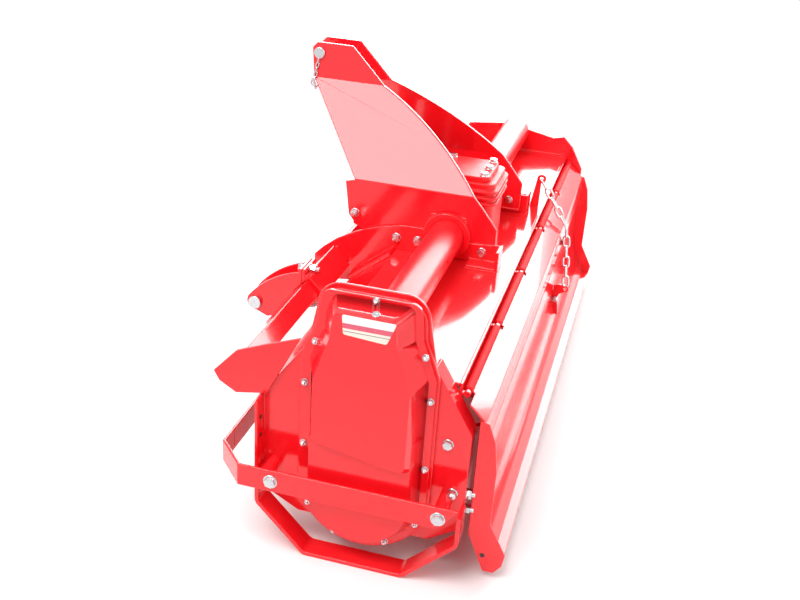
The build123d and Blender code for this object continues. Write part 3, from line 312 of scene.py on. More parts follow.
def solidCopy(name):  # the CAD solid's faces merged again, ready to be shaped further
    shape = bmesh.new()
    shape.from_mesh(nodes[name].data)
    bmesh.ops.remove_doubles(shape, verts=shape.verts, dist=samePoint)
    bmesh.ops.dissolve_limit(shape, angle_limit=flatAngle, verts=shape.verts, edges=shape.edges)
    return shape


def softenedCopy(name, ending, material, body, width, segments=2):
    piece = newPiece(name + ending, solidCopy(name), [material], body)
    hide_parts(name)
    breakEdges(piece, width, segments)


# Painted plates: the CAD solids with their edges broken, as cut and sprayed steel has them, in mm
plateEdges = {
    "side_plate_drive": 1.6, "side_plate_far": 1.6, "chain_case": 1.8, "hood": 1.4,
    "levelling_board": 1.2, "board_end_drive": 1.0, "board_end_far": 1.0,
    "mast_plate_drive": 2.4, "mast_plate_far": 2.4, "arm_plate_drive": 1.5, "arm_plate_far": 1.5,
    "end_plate_drive": 1.8, "end_plate_far": 1.8, "lower_clevis_drive": 1.5,
    "lower_clevis_far": 1.5, "clevis_strap_drive": 2.2, "clevis_strap_far": 2.2,
    "skid_drive": 1.6, "skid_far": 1.6, "guard_strap_drive": 1.6, "guard_strap_far": 1.6,
    "guard_bar": 1.4, "axle_tube_drive": 0.8, "axle_tube_far": 0.8, "hinge_bar": 1.0,
    "chain_bracket": 1.2}
for name, width in plateEdges.items():
    onBoard = name.startswith("board") or name == "levelling_board"
    finish = tubePaint if name.startswith("axle_tube") else redPaint
    softenedCopy(name, "_painted", finish, "board" if onBoard else "frame", width)

# The web between the mast plates stands in from their rear edges, in mm
mastWeb = {"move": (0, -18.7, -17.9), "edge": 1.5}
web = solidCopy("mast_web")
bmesh.ops.translate(web, verts=web.verts, vec=Vector(mastWeb["move"]) * mm)
webPiece = newPiece("mast_web_painted", web, [redPaint], "frame")
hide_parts("mast_web")
breakEdges(webPiece, mastWeb["edge"])

frontBeam = {"corner": 6.0, "segments": 5}  # a rolled square tube
softenedCopy("front_beam", "_painted", redPaint, "frame",
             frontBeam["corner"] / 2, frontBeam["segments"])

castEdges = {"gearbox": 2.2, "gearbox_cover": 2.5, "bearing_far": 2.0}
for name, width in castEdges.items():
    softenedCopy(name, "_cast", castPaint, "frame", width, 3)

pinEdges = {"top_link_pin": 1.6, "lower_pin_drive": 1.6, "lower_pin_far": 1.6}
for name, width in pinEdges.items():
    softenedCopy(name, "_turned", zincSteel, "frame", width, 3)

tineEdge = 0.9
softenedCopy("rotor_tines", "_forged", tineSteel, "rotor", tineEdge)

# The rotor's shaft stops short of the bottom of its bore, and is a little slimmer there
shaftEnd = {"play": 2.4, "slim": 0.98}
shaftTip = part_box("rotor_shaft")[1].x
shaft = solidCopy("rotor_shaft")
for v in shaft.verts:
    if v.co.x > shaftTip - 1 * mm:
        v.co.x -= shaftEnd["play"] * mm
        v.co.y = axleY + (v.co.y - axleY) * shaftEnd["slim"]
        v.co.z = rotorZ * mm + (v.co.z - rotorZ * mm) * shaftEnd["slim"]
shaftPiece = newPiece("rotor_shaft_turned", shaft, [redPaint], "rotor")
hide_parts("rotor_shaft")
smoothByAngle(shaftPiece, 30)

driveEdges = {"input_guard": (blackPlasticAndHoleShade, "frame", "black_plastic", 1.2),
              "input_shaft": (bareSteel, "input", "bare_steel", 0.5)}
for name, (material, body, slot, width) in driveEdges.items():
    softenedCopy(name, "_softened", material, body, width)
print("plates done")


def thicken(shape, thick):  # a flat sheet drawn out along X, in mm
    drawn = bmesh.ops.extrude_face_region(shape, geom=shape.faces[:])
    verts = [part for part in drawn["geom"] if isinstance(part, bmesh.types.BMVert)]
    bmesh.ops.translate(shape, verts=verts, vec=(thick * mm, 0, 0))


def cutPlate(name, outline, thick, x, width, body, holes=()):  # sheet across X, places in mm
    shape = bmesh.new()
    edges = []
    for loop in (outline, *holes):
        points = [shape.verts.new(sideView(x, y, z)) for y, z in loop]
        edges += [shape.edges.new(pair) for pair in zip(points, points[1:] + points[:1])]
    bmesh.ops.triangle_fill(shape, use_beauty=True, use_dissolve=True, edges=edges)
    thicken(shape, thick)
    bmesh.ops.dissolve_limit(shape, angle_limit=flatAngle, verts=shape.verts, edges=shape.edges)
    bmesh.ops.recalc_face_normals(shape, faces=shape.faces)
    piece = newPiece(name, shape, [redPaint], body)
    breakEdges(piece, width)
    return piece


def arc(y, z, radius, start, end, steps):
    angles = [math.radians(start + (end - start) * k / steps) for k in range(steps + 1)]
    return [(y + radius * math.cos(a), z + radius * math.sin(a)) for a in angles]


# Hook on the board: a slim cut plate that leans out to the foot of the chain
hook = {"eye": (236.5, 166), "nose": 8.5, "hole": 4.6, "thick": 5.0, "x": -264.5, "edge": 0.8,
        "back": [(206.4, 172), (207.0, 141), (218.4, 92), (226, 89), (219, 137), (221, 149)],
        "top": [(219, 176)], "bolt": (215, 133)}
hookLine = hook["back"] + arc(*hook["eye"], hook["nose"], -95, 110, 10) + hook["top"]
hookPlate = cutPlate("board_hook_cut", hookLine, hook["thick"], hook["x"], hook["edge"], "board",
                     [arc(*hook["eye"], hook["hole"], 0, 330, 11)])
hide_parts("board_hook")

# Foot of the near mast plate, carried forward to its slotted bolt
mastFoot = {"outline": [(-237, 513), (-227, 438), (-212, 419), (-198, 419), (-208, 521)],
            "thick": 6.0, "x": 130.6, "edge": 1.5, "bolt": (-212, 444)}
cutPlate("mast_foot_lip", mastFoot["outline"], mastFoot["thick"], mastFoot["x"],
         mastFoot["edge"], "frame")

# Inward lips down the rear edges of the side plates
rearLip = {"outline": [(181, 112), (186.5, 112), (186.5, 297), (181, 300)], "width": 31.0,
           "outer": 697, "edge": 1.2}
for side, tag in sides:
    lipStart = rearLip["outer"] - rearLip["width"] if side > 0 else -rearLip["outer"]
    cutPlate("rear_lip_" + tag, rearLip["outline"], rearLip["width"], lipStart, rearLip["edge"],
             "frame")

# Chain case cover: one pressing with rounded creases, whose panel runs up nearly to the top
pressing = {"crease": 8.0, "segments": 4, "raise": 12.0, "brow": 9.0, "frontIn": 8.0,
            "creaseAngle": 6, "flange": 9.0, "flangeTop": 4.0, "topFrom": 500, "middleZ": 290,
            "panelFrom": 60, "frontFrom": 60, "sheet": 7.0, "edge": 1.0,
            "plugOver": (748, 17, 560)}
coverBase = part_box("chain_case_cover")[0].x
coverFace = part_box("chain_case_cover")[1].x
cover = solidCopy("chain_case_cover")
panelTop = [v for v in cover.verts
            if v.co.x > coverFace - 2 * mm and v.co.z > axleZ + pressing["panelFrom"] * mm]
bmesh.ops.translate(cover, verts=panelTop, vec=(0, 0, pressing["raise"] * mm))
coverFoot = [v for v in cover.verts if v.co.x < coverBase + 1 * mm]
bmesh.ops.translate(cover, verts=[v for v in coverFoot if v.co.z > pressing["topFrom"] * mm],
                    vec=(0, 0, pressing["brow"] * mm))
coverFront = [v for v in coverFoot if v.co.y < axleY - pressing["frontFrom"] * mm]
bmesh.ops.translate(cover, verts=coverFront, vec=(0, pressing["frontIn"] * mm, 0))
creases = [e for e in cover.edges
           if len(e.link_faces) == 2
           and e.calc_face_angle(0) > math.radians(pressing["creaseAngle"])
           and max(v.co.x for v in e.verts) > coverBase + 3 * mm]
bmesh.ops.bevel(cover, geom=creases, offset=pressing["crease"] * mm,
                segments=pressing["segments"], profile=0.5, affect="EDGES", clamp_overlap=True,
                material=-1)
bmesh.ops.remove_doubles(cover, verts=cover.verts, dist=2 * samePoint)
plugOver = sideView(*pressing["plugOver"])  # the plug sits straight below this point
plugPlace, plugFacing = BVHTree.FromBMesh(cover).ray_cast(plugOver, Vector((0, 0, -1)))[:2]
coverPiece = newPiece("chain_case_cover_pressed", cover, [redPaint], "frame")
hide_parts("chain_case_cover")
smoothByAngle(coverPiece, 40)
evenShading(coverPiece)

# The flange the pressing is drawn from, screwed to the chain case
rim = {(round((v.co.y - axleY) / mm, 2), round(v.co.z / mm, 2))
       for v in nodes["chain_case_cover"].data.vertices if v.co.x < coverBase + 1 * mm}
rim = sorted(rim, key=lambda spot: math.atan2(spot[1] - pressing["middleZ"], spot[0]))
flangeLine = []
for before, here, after in zip(rim[-1:] + rim[:-1], rim, rim[1:] + rim[:1]):
    along = Vector((after[0] - before[0], after[1] - before[1])).normalized()
    lift = pressing["flangeTop"] if here[1] > pressing["topFrom"] else 0
    flangeLine.append((here[0] + along.y * pressing["flange"],
                       here[1] - along.x * pressing["flange"] + lift))
cutPlate("cover_flange", flangeLine, pressing["sheet"], coverBase / mm, pressing["edge"], "frame")

# Blank label on the cover, with its plain coloured bands: the top of each and its material
label = {"corners": ((-38, 518), (55, 517), (40, 477), (-35, 482)), "proud": 0.3, "deep": 0.27,
         "round": 4.0, "x": 757, "bands": ((503.0, 1), (493.5, 3), (489.0, 2), (487.6, 3))}
labelShape = bmesh.new()
corners = [labelShape.verts.new(sideView(label["x"] + label["proud"], y, z))
           for y, z in label["corners"]]
labelFace = labelShape.faces.new(corners)
labelShape.normal_update()
if labelFace.normal.x < 0:
    labelFace.normal_flip()
bmesh.ops.bevel(labelShape, geom=list(labelShape.verts), offset=label["round"] * mm, segments=5,
                profile=0.5, affect="VERTICES", material=-1)
for top, _ in label["bands"]:
    whole = labelShape.verts[:] + labelShape.edges[:] + labelShape.faces[:]
    bmesh.ops.bisect_plane(labelShape, geom=whole, plane_co=(0, 0, top * mm), plane_no=(0, 0, 1))
for face in labelShape.faces:
    inks = [ink for top, ink in label["bands"] if face.calc_center_median().z < top * mm]
    face.material_index = inks[-1] if inks else 0
thicken(labelShape, -label["deep"])
bmesh.ops.recalc_face_normals(labelShape, faces=labelShape.faces)
newPiece("cover_label", labelShape, labelMaterials, "frame")
print("cover done")


# Turned and hexagonal fasteners, standing on z = 0, sizes in mm

def turned(profile, steps=24):  # spun round Z from (radius, height) points, closed
    shape = bmesh.new()
    points = [shape.verts.new((radius * mm, 0, height * mm)) for radius, height in profile]
    edges = [shape.edges.new(pair) for pair in zip(points, points[1:])]
    bmesh.ops.spin(shape, geom=points + edges, cent=(0, 0, 0), axis=(0, 0, 1),
                   angle=2 * math.pi, steps=steps, use_merge=True, use_duplicate=False)
    bmesh.ops.remove_doubles(shape, verts=shape.verts, dist=samePoint / 10)
    bmesh.ops.recalc_face_normals(shape, faces=shape.faces)
    return shape


def addCopy(shape, other, matrix=Matrix.Identity(4)):
    data = bpy.data.meshes.new("stamp")
    other.to_mesh(data)
    data.transform(matrix)
    shape.from_mesh(data)
    bpy.data.meshes.remove(data)


def faceOut(outward):  # turns what stands along Z to stand along this direction
    return Vector(outward).normalized().to_track_quat("Z", "Y").to_matrix().to_4x4()


thread = {"pitch": 1.4, "depth": 0.45, "start": 0.5, "chamfer": 1.0}


def threaded(radius, low, high):  # (radius, height) points of a threaded end
    points = []
    height = low
    while height + thread["pitch"] < high - thread["chamfer"]:
        points += [(radius, height), (radius - thread["depth"], height + thread["pitch"] / 2)]
        height += thread["pitch"]
    return points + [(radius, height), (radius, high - thread["chamfer"]),
                     (radius - thread["chamfer"], high), (0, high)]


# Crown and dish are shares of the width across flats, the washer's wall is a share of its
# thickness, and its edge and the dish's three heights over the head are in mm
hexagon = {"crown": 0.06, "dishOuter": 0.38, "dishInner": 0.30, "washerWall": 0.7,
           "washerEdge": 0.5, "dishFrom": -0.2, "dishStep": 0.25, "dishTop": 0.45}


def hexFastener(washer, washerThick, across, height, stud=0, studLength=0):
    # a washer, a hexagon, and a stud's end through it or a shallow dish
    made = turned([(0, 0), (washer, 0), (washer, washerThick * hexagon["washerWall"]),
                   (washer - hexagon["washerEdge"], washerThick), (0, washerThick)])
    head = bmesh.new()
    corner = across / math.sqrt(3) * mm
    bmesh.ops.create_cone(head, cap_ends=True, segments=6, radius1=corner, radius2=corner,
                          depth=height * mm)
    crown = [e for e in head.edges if all(v.co.z > 0 for v in e.verts)]
    bmesh.ops.bevel(head, geom=crown, offset=hexagon["crown"] * across * mm, segments=2,
                    profile=0.5, affect="EDGES", material=-1)
    addCopy(made, head, Matrix.Translation((0, 0, (washerThick + height / 2) * mm)))
    head.free()
    top = washerThick + height
    if stud:
        low = washerThick + thread["start"]
        end = turned([(0, washerThick)] + threaded(stud, low, top + studLength), 16)
    else:
        outer = across * hexagon["dishOuter"]
        end = turned([(0, top + hexagon["dishFrom"]), (outer, top + hexagon["dishFrom"]),
                      (outer, top + hexagon["dishStep"]),
                      (across * hexagon["dishInner"], top + hexagon["dishTop"]),
                      (0, top + hexagon["dishTop"])], 20)
    addCopy(made, end)
    end.free()
    return made


dome = {"wall": 0.25, "rings": (25, 50, 72)}  # the wall's share of the height, and degrees up


def domeHead(radius, height):  # a coach bolt's head: a low wall with a dome over it
    wall = height * dome["wall"]
    points = [(0, 0), (radius, 0), (radius, wall)]
    for degrees in dome["rings"]:
        a = math.radians(degrees)
        points.append((radius * math.cos(a), wall + (height - wall) * math.sin(a)))
    return turned(points + [(0, height)])


kinds = {  # washer, its thickness, width across flats, height, stud and how far it stands out
    "bolt12": hexFastener(12.0, 2.2, 18.0, 7.5),
    "nut12": hexFastener(12.0, 2.2, 18.0, 10.0, 6.0, 7.0),
    "bolt10": hexFastener(10.0, 1.8, 16.0, 6.5),
    "nut10": hexFastener(10.0, 1.8, 16.0, 8.0, 5.0, 6.0),
    "bolt8": hexFastener(8.0, 1.4, 12.5, 5.0),
    "nut8": hexFastener(8.0, 1.4, 12.5, 6.5, 4.0, 4.5),
    "screw6": hexFastener(6.2, 1.2, 9.5, 4.5, 3.0, 4.0),
    "guard12": hexFastener(13.5, 2.0, 19.5, 5.0),
    "dome10": domeHead(10.5, 5.0)}
stopAngle = {"first": 17, "next": 23}  # each fastener is tightened to its own angle, in degrees


def fasteners(name, kind, outward, places, body="frame", material=zincSteel):
    # places are (x, y, z) in mm on the surface that carries them, y counted from the axle tube
    shape = bmesh.new()
    facing = faceOut(outward)
    for count, place in enumerate(places):
        turn = math.radians(stopAngle["first"] + stopAngle["next"] * count)
        addCopy(shape, kinds[kind],
                Matrix.Translation(sideView(*place)) @ facing @ Matrix.Rotation(turn, 4, "Z"))
    smoothByAngle(newPiece(name, shape, [material], body), 32)


# What carries the fasteners, in mm: from the machine's middle, from the hitch's middle, and
# above the floor
boltFaces = {"sidePlate": 703, "chainCase": 711, "guard": 767, "rearFlange": 690, "bearing": 743,
             "arm": 173, "clamp": 341.5, "hoodBolt": 252, "mastInner": 157,
             "hoodTop": 377, "gearboxTop": 532}
bearingRing = arc(0, rotorZ, 54, 30, 330, 5)
flangeFace = boltFaces["chainCase"] + pressing["sheet"]
coverScrews = ((8, 533), (-95, 438), (-112, 354), (-112, 229), (98, 446), (113, 364),
               (113, 226), (104, 106), (-100, 103), (50, 52), (-48, 52))
fasteners("cover_screws", "screw6", (1, 0, 0), [(flangeFace, y, z) for y, z in coverScrews])
for side, tag in sides:
    out = (side, 0, 0)
    plateX = side * boltFaces["sidePlate"]
    fasteners("skid_nuts_" + tag, "nut10", out, [(plateX + side * 0.2, 163, 178)])
    fasteners("plate_bolts_" + tag, "bolt10", out, [(plateX, 147, 277)])
    flangeX = side * boltFaces["rearFlange"]
    fasteners("rear_nuts_" + tag, "nut10", (0, 1, 0),
              [(flangeX, 186.5, 174), (flangeX, 186.5, 141)])
    guardX = side * boltFaces["guard"]
    fasteners("guard_bolts_" + tag, "guard12", out, [(guardX, -155, 165), (guardX, 153, 165)])
    armX = hitchX + side * boltFaces["arm"]
    fasteners("arm_bolts_" + tag, "bolt10", out,
              [(armX, -112, 405), (armX, -64, 405), (armX, 78, 403)])
    clampX = hitchX + side * boltFaces["clamp"]
    fasteners("clamp_nuts_" + tag, "nut12", (0, 1, 0),
              [(clampX, -249, 375), (clampX, -249, 297)])
    fasteners("clamp_heads_" + tag, "bolt12", (0, -1, 0),
              [(clampX, -265, 375), (clampX, -265, 297)])
    fasteners("hood_bolts_" + tag, "dome10", (0, 0, 1),
              [(hitchX + side * boltFaces["hoodBolt"], 84, boltFaces["hoodTop"])],
              "frame", redPaint)
fasteners("gearbox_cover_bolts", "bolt10", (0, 0, 1),
          [(x, y, boltFaces["gearboxTop"]) for x in (-80, -30, 23) for y in (-47, 47)])
farMastX = hitchX - boltFaces["mastInner"]
fasteners("mast_bolt_far", "bolt10", (1, 0, 0), [(farMastX, 76, 409), (farMastX, -80, 420)])
fasteners("mast_foot_bolt", "bolt10", (1, 0, 0),
          [(mastFoot["x"] + mastFoot["thick"], *mastFoot["bolt"])])
fasteners("bearing_bolts", "bolt8", (-1, 0, 0),
          [(-boltFaces["bearing"], y, z) for y, z in bearingRing])
fasteners("hook_bolt", "bolt8", (1, 0, 0), [(hook["x"] + hook["thick"], *hook["bolt"])], "board")
fasteners("hook_nut", "nut8", (-1, 0, 0), [(hook["x"], *hook["bolt"])], "board")

# Drilled holes that stay empty are not cut: a thin black disc at each is painted shade, the dark
# of the open hole
holeShadeSize = {"radius": 4.6, "thick": 0.3, "boardEnd": 692, "frontFlange": 718}


# a thin black disc laid on the surface at each place: painted shade where a hole would show dark
def laidHoleShade(name, outward, places, body):
    disc = turned([(0, 0), (holeShadeSize["radius"], 0), (holeShadeSize["radius"], holeShadeSize["thick"]),
                   (0, holeShadeSize["thick"])], 20)
    shape = bmesh.new()
    for place in places:
        addCopy(shape, disc, Matrix.Translation(sideView(*place)) @ faceOut(outward))
    disc.free()
    smoothByAngle(newPiece(name, shape, [blackPlasticAndHoleShade], body), 30)


# painted shade for the holes in the board ends and the front flanges
for side, tag in sides:
    laidHoleShade("board_end_hole_shade_" + tag, (side, 0, 0),
              [(side * holeShadeSize["boardEnd"], 227, 49)], "board")
    laidHoleShade("front_flange_hole_shade_" + tag, (0, 1, 0),
              [(side * holeShadeSize["frontFlange"], -194, z) for z in (263, 225)], "frame")

# Each tine is held on its disc by two bolts
rotor = {"discs": 7, "span": 1200.0, "tines": 4, "shift": 360 / 28, "bolt": 58.0, "apart": 11.0,
         "tineFace": 12.0, "discFace": 4.0}
heads = {1: [], -1: []}
backs = {1: [], -1: []}
for disc in range(rotor["discs"]):
    discX = rotor["span"] * (disc / (rotor["discs"] - 1) - 0.5)
    for tine in range(rotor["tines"]):
        hand = 1 if tine % 2 else -1
        angle = math.radians(360 / rotor["tines"] * tine + rotor["shift"] * disc)
        for aside in (-rotor["apart"], rotor["apart"]):
            y = aside * math.cos(angle) - rotor["bolt"] * math.sin(angle)
            z = rotorZ + aside * math.sin(angle) + rotor["bolt"] * math.cos(angle)
            heads[hand].append((discX + hand * rotor["tineFace"], y, z))
            backs[hand].append((discX - hand * rotor["discFace"], y, z))
for hand, tag in ((1, "right"), (-1, "left")):
    fasteners("tine_bolts_" + tag, "bolt8", (hand, 0, 0), heads[hand], "rotor")
    fasteners("tine_nuts_" + tag, "nut8", (-hand, 0, 0), backs[hand], "rotor")

# Plug on the cover's upper slope
plugLine = [(0, 0), (7, 0), (7, 2.2), (6, 3), (4, 3), (3.4, 1.6), (0, 1.6)]
plug = turned(plugLine)
bmesh.ops.transform(plug, matrix=Matrix.Translation(plugPlace) @ faceOut(plugFacing),
                    verts=plug.verts)
smoothByAngle(newPiece("cover_plug", plug, [zincSteel], "frame"), 30)
print("fasteners done")


# Round-wire chain links in place of the plain CAD ones, sizes in mm: the length is between the
# middles of the wire at a link's two ends, the width is overall, and wire is the wire's radius
linkSize = {"length": 28.0, "width": 20.0, "wire": 2.9, "pitch": 27.0, "first": 15.0}
smallLink = {"length": 12.0, "width": 8.8, "wire": 1.4, "pitch": 10.6, "first": 7.0}


def wireLink(length, width, wire):  # flat in XY, its length along X
    bend = width / 2 - wire
    half = (length / 2 - bend) * mm
    shape = bmesh.new()
    circle = bmesh.ops.create_circle(shape, segments=10, radius=wire * mm)["verts"]
    bmesh.ops.rotate(shape, verts=circle, cent=(0, 0, 0),
                     matrix=Matrix.Rotation(math.pi / 2, 3, "Y"))
    bmesh.ops.translate(shape, verts=circle, vec=(half, bend * mm, 0))
    section = shape.edges[:]
    for end in (1, -1):  # round one end, then back along a straight side
        bent = bmesh.ops.spin(shape, geom=section, cent=(end * half, 0, 0), axis=(0, 0, -1),
                              angle=math.pi, steps=8, use_duplicate=False)
        last = [part for part in bent["geom_last"] if isinstance(part, bmesh.types.BMEdge)]
        run = bmesh.ops.extrude_edge_only(shape, edges=last)["geom"]
        moved = [part for part in run if isinstance(part, bmesh.types.BMVert)]
        bmesh.ops.translate(shape, verts=moved, vec=(-end * 2 * half, 0, 0))
        section = [part for part in run if isinstance(part, bmesh.types.BMEdge)
                   and all(v in moved for v in part.verts)]
    bmesh.ops.remove_doubles(shape, verts=shape.verts, dist=samePoint)
    bmesh.ops.recalc_face_normals(shape, faces=shape.faces)
    return shape


def chainRun(name, x, start, slope, count, body, size=linkSize):
    shape = bmesh.new()
    link = wireLink(size["length"], size["width"], size["wire"])
    way = Vector((0, math.cos(math.radians(slope)), -math.sin(math.radians(slope))))
    across = Vector((1, 0, 0))
    basis = Matrix((way, across, way.cross(across))).transposed().to_4x4()
    for step in range(count):
        middle = sideView(x, *start) + way * (size["first"] + step * size["pitch"]) * mm
        turn = Matrix.Rotation(math.radians(90 * (step % 2)), 4, "X")
        addCopy(shape, link, Matrix.Translation(middle) @ basis @ turn)
    link.free()
    piece = newPiece(name, shape, [zincSteel], body)
    piece.data.shade_smooth()
    return piece


chain = {"x": -262, "bracket": (141.4, 447.8), "bend": (217.7, 336), "hold": (218, 333),
         "upperSlope": 56.3, "lowerSlope": 83.7, "upperLinks": 5, "lowerLinks": 6}
upperChain = chainRun("chain_upper_links", chain["x"], chain["bracket"], chain["upperSlope"],
                      chain["upperLinks"], None)
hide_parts("chain_upper")
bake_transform(upperChain)
lowerChain = chainRun("chain_lower_links", chain["x"], chain["bend"], chain["lowerSlope"],
                      chain["lowerLinks"], "board")
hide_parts("chain_lower")
pinChain = {"x": 9, "top": (-351, 742), "slope": 100, "links": 4}
chainRun("top_pin_chain", pinChain["x"], pinChain["top"], pinChain["slope"], pinChain["links"],
         "frame", smallLink)

# Shares of a lynch pin's stem: its loop's offset, its head's radius and where the head starts and
# is full. Its pointed end is narrower by taper, over lead, and the head's edge is broken, in mm
lynch = {"offset": 1.4, "head": 1.7, "headFrom": 0.3, "headFull": 0.34, "taper": 1.2, "lead": 1.5,
         "edge": 1.0}


def lynchPin(loop, wire, stem, length):  # its stem stands along Z, its loop lies across X
    section = [(loop + wire * math.cos(math.radians(a)), wire * math.sin(math.radians(a)))
               for a in range(0, 361, 45)]
    made = bmesh.new()
    hoop = turned(section, 28)
    addCopy(made, hoop, Matrix.Translation((-stem * lynch["offset"] * mm, 0, 0))
            @ Matrix.Rotation(math.pi / 2, 4, "Y"))
    hoop.free()
    end = length / 2
    head = stem * lynch["head"]
    post = turned([(0, -end), (stem - lynch["taper"], -end), (stem, lynch["lead"] - end),
                   (stem, length * lynch["headFrom"]), (head, length * lynch["headFull"]),
                   (head, end - lynch["edge"]), (stem, end), (0, end)], 18)
    addCopy(made, post)
    post.free()
    return made


def clips(name, sizes, places):
    # sizes are the loop's radius, its wire's, the stem's and the stem's length, in mm, and
    # places are (x, y, z, lean in degrees) of the stem's middle
    shape = bmesh.new()
    made = lynchPin(*sizes)
    for x, y, z, lean in places:
        addCopy(shape, made, Matrix.Translation(sideView(x, y, z))
                @ Matrix.Rotation(math.radians(lean), 4, "X"))
    made.free()
    smoothByAngle(newPiece(name, shape, [zincSteel], "frame"), 35)


clips("lower_pin_clips", (19.0, 1.9, 4.0, 42.0), [(275, -358.5, 293, 12), (-331, -358.5, 293, -9)])
clips("top_pin_clip", (18.0, 1.9, 4.0, 38.0), [(-67, -349, 753, 20)])
clips("chain_clip", (8.5, 1.5, 2.6, 26.0), [(9, -360, 683, 14)])
print("chains done")

# Weld beads: a row of overlapping ripples laid in each corner, under the paint. A ripple's step
# and squash are shares of its radius, and each swell is how much and how fast it comes and goes
weld = {"step": 0.8, "squash": 0.75, "swells": ((0.10, 2.1), (0.06, 5.3)), "hood": 3.2,
        "arm": 2.6, "mast": 3.0, "hoodX": 696.5, "armFootX": 213}


def weldBead(name, points, radius):
    shape = bmesh.new()
    ripple = bmesh.new()
    bmesh.ops.create_uvsphere(ripple, u_segments=8, v_segments=6, radius=radius * mm)
    places = [sideView(*point) for point in points]
    for a, b in zip(places, places[1:]):
        steps = max(1, int((b - a).length / (radius * mm * weld["step"])))
        along = (b - a).normalized().to_track_quat("X", "Z").to_matrix().to_4x4()
        for k in range(steps):
            swell = 1 + sum(much * math.sin(k * fast) for much, fast in weld["swells"])
            addCopy(shape, ripple, Matrix.Translation(a.lerp(b, k / steps)) @ along
                    @ Matrix.Diagonal((weld["squash"], swell, swell, 1)))
    ripple.free()
    newPiece(name, shape, [redPaint], "frame").data.shade_smooth()


weldTop = boltFaces["hoodTop"] + 1  # the middle of a bead along the hood's top
for side, tag in sides:
    edge = side * weld["hoodX"]
    weldBead("hood_weld_" + tag, [(edge, y, weldTop) for y in (-112, 40, 148)], weld["hood"])
    weldBead("hood_front_weld_" + tag, [(edge, -204, 305), (edge, -114, weldTop)], weld["hood"])
    armFoot = hitchX + side * weld["armFootX"]
    weldBead("arm_foot_weld_" + tag, [(armFoot, 52, weldTop), (armFoot, 120, weldTop)],
             weld["arm"])
    weldBead("arm_front_weld_" + tag, [(armFoot, -200, 308), (armFoot, -114, weldTop)],
             weld["arm"])
    mastIn = hitchX + side * boltFaces["mastInner"]
    weldBead("mast_weld_" + tag, [(mastIn, 62, 387), (mastIn, 104, 387)], weld["mast"])
print("welds done")

# Hinge barrels: tubes on the board, each between two lugs of the bar
barrel = {"radius": 8.6, "bore": 7.3, "lugs": 6, "lugWidth": 10.0, "gap": 3.5, "y": 164,
          "z": 357, "chamfer": 0.6}
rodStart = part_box("hinge_rod")[0].x / mm
rodLength = (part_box("hinge_rod")[1].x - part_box("hinge_rod")[0].x) / mm
spacing = (rodLength - barrel["lugWidth"]) / (barrel["lugs"] - 1)
barrelLength = spacing - barrel["lugWidth"] - 2 * barrel["gap"]
chamfered = barrel["radius"] - barrel["chamfer"]
tube = turned([(barrel["bore"], 0), (chamfered, 0), (barrel["radius"], barrel["chamfer"]),
               (barrel["radius"], barrelLength - barrel["chamfer"]), (chamfered, barrelLength),
               (barrel["bore"], barrelLength), (barrel["bore"], 0)], 32)
barrels = bmesh.new()
for step in range(barrel["lugs"] - 1):
    x = rodStart + barrel["lugWidth"] + barrel["gap"] + step * spacing
    addCopy(barrels, tube, Matrix.Translation(sideView(x, barrel["y"], barrel["z"]))
            @ Matrix.Rotation(math.pi / 2, 4, "Y"))
tube.free()
# the barrels take the darker copy of the red paint, painted shade on the hinge
smoothByAngle(newPiece("hinge_barrels", barrels, [shadedDullPaint], "board"), 30)
print("hinge done")

# Camera, from the photograph's own perspective
camera = {"place": (2.2100, axleY + 0.4165, 1.2904), "aim": (-0.87281, -0.21603, -0.43765),
          "roll": 0.070, "lens": 47.36, "sensor": 36.0}
cameraData = bpy.data.cameras.new("photoCamera")
cameraData.lens = camera["lens"]
cameraData.sensor_width = camera["sensor"]
cameraObject = bpy.data.objects.new("photoCamera", cameraData)
aimed = Vector(camera["aim"]).to_track_quat("-Z", "Y").to_matrix().to_4x4()
cameraObject.matrix_world = (Matrix.Translation(camera["place"]) @ aimed
                             @ Matrix.Rotation(camera["roll"], 4, "Z"))
bpy.context.scene.collection.objects.link(cameraObject)
bpy.context.scene.camera = cameraObject
bpy.context.scene.view_settings.view_transform = "Standard"

# Soft boxes: place, size, how bright the face itself is, and what it is turned to
softBoxes = {"keyLight": ((1.9, -1.0, 3.2), (2.6, 1.8), 7.8, (0, 0.0, 0.4)),
             "backLight": ((-3.4, 0.3, 1.95), (5.0, 2.5), 7.6, (0, 0.0, 0.4)),
             "rearLight": ((1.2, 3.6, 2.0), (2.6, 1.6), 2.6, (0, 0.0, 0.3))}
for name, (place, size, glow, target) in softBoxes.items():
    lamp = bpy.data.lights.new(name, "AREA")
    lamp.shape = "RECTANGLE"
    lamp.size, lamp.size_y = size
    lamp.energy = glow * math.pi * size[0] * size[1]
    lampObject = bpy.data.objects.new(name, lamp)
    lampObject.location = place
    facing = (Vector(target) - Vector(place)).to_track_quat("-Z", "Y")
    lampObject.rotation_euler = facing.to_euler()
    bpy.context.scene.collection.objects.link(lampObject)


def seenDirectly(tree):  # 1 for what the camera sees, straight or in a shiny or clear surface
    path = addNode(tree, "ShaderNodeLightPath")
    straight = combine(tree, "MAXIMUM", path.outputs["Is Camera Ray"],
                       path.outputs["Is Glossy Ray"])
    return combine(tree, "MAXIMUM", straight, path.outputs["Is Transmission Ray"])


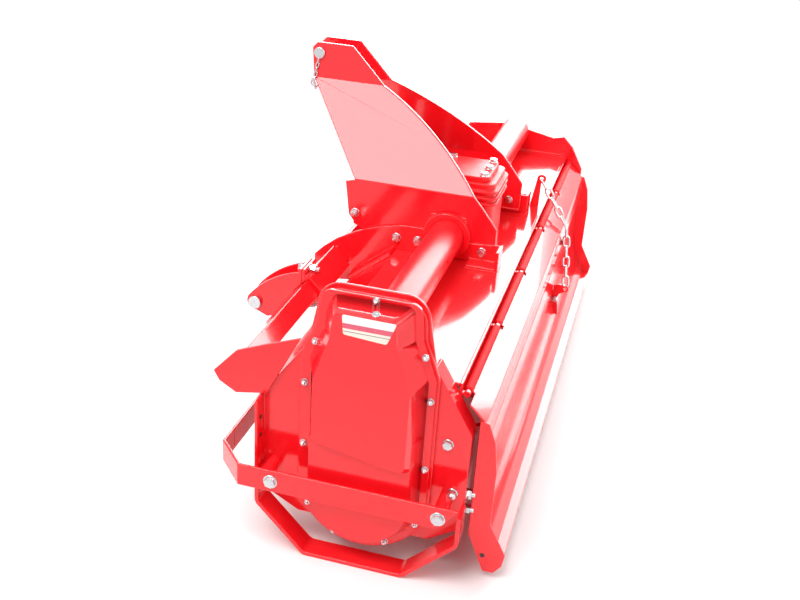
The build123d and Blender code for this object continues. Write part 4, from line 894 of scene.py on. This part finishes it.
# Background and floor: past the object's shadow the paper is lit to an even white
paper = {"radius": 7.0, "whiteFrom": 0.9, "whiteTo": 1.5, "colour": (0.9, 0.9, 0.9, 1),
         "roughness": 0.9, "shine": 0.1, "worldLight": 0.46}
world = bpy.data.worlds.new("studioWorld")
bpy.context.scene.world = world
world.use_nodes = True
sky = world.node_tree
background = sky.nodes["Background"]
background.inputs["Color"].default_value = (1, 1, 1, 1)
strength = addNode(sky, "ShaderNodeMapRange", {"To Min": paper["worldLight"], "To Max": 1})
sky.links.new(seenDirectly(sky), strength.inputs["Value"])
sky.links.new(strength.outputs["Result"], background.inputs["Strength"])

floorShape = bmesh.new()
bmesh.ops.create_circle(floorShape, cap_ends=True, radius=paper["radius"], segments=64)
floorData = bpy.data.meshes.new("studioFloor")
floorShape.to_mesh(floorData)
floorShape.free()
floor = bpy.data.objects.new("studioFloor", floorData)
bpy.context.scene.collection.objects.link(floor)
floorPaper = bpy.data.materials.new("studioFloor")
floorPaper.use_nodes = True
tree = floorPaper.node_tree
matt = tree.nodes["Principled BSDF"]
matt.inputs["Base Color"].default_value = paper["colour"]
matt.inputs["Roughness"].default_value = paper["roughness"]
matt.inputs["Specular IOR Level"].default_value = paper["shine"]
place = addNode(tree, "ShaderNodeTexCoord")
distance = addNode(tree, "ShaderNodeVectorMath", operation="LENGTH")
tree.links.new(place.outputs["Object"], distance.inputs[0])
away = addNode(tree, "ShaderNodeMapRange",
               {"From Min": paper["whiteFrom"], "From Max": paper["whiteTo"]},
               interpolation_type="SMOOTHSTEP")
tree.links.new(distance.outputs["Value"], away.inputs["Value"])
evenWhite = addNode(tree, "ShaderNodeEmission")
evenShare = combine(tree, "MULTIPLY", seenDirectly(tree), away.outputs["Result"])
blended = addNode(tree, "ShaderNodeMixShader")
tree.links.new(evenShare, blended.inputs["Fac"])
tree.links.new(matt.outputs["BSDF"], blended.inputs[1])
tree.links.new(evenWhite.outputs["Emission"], blended.inputs[2])
tree.links.new(blended.outputs["Shader"], tree.nodes["Material Output"].inputs["Surface"])
floorData.materials.append(floorPaper)
print("studio done")
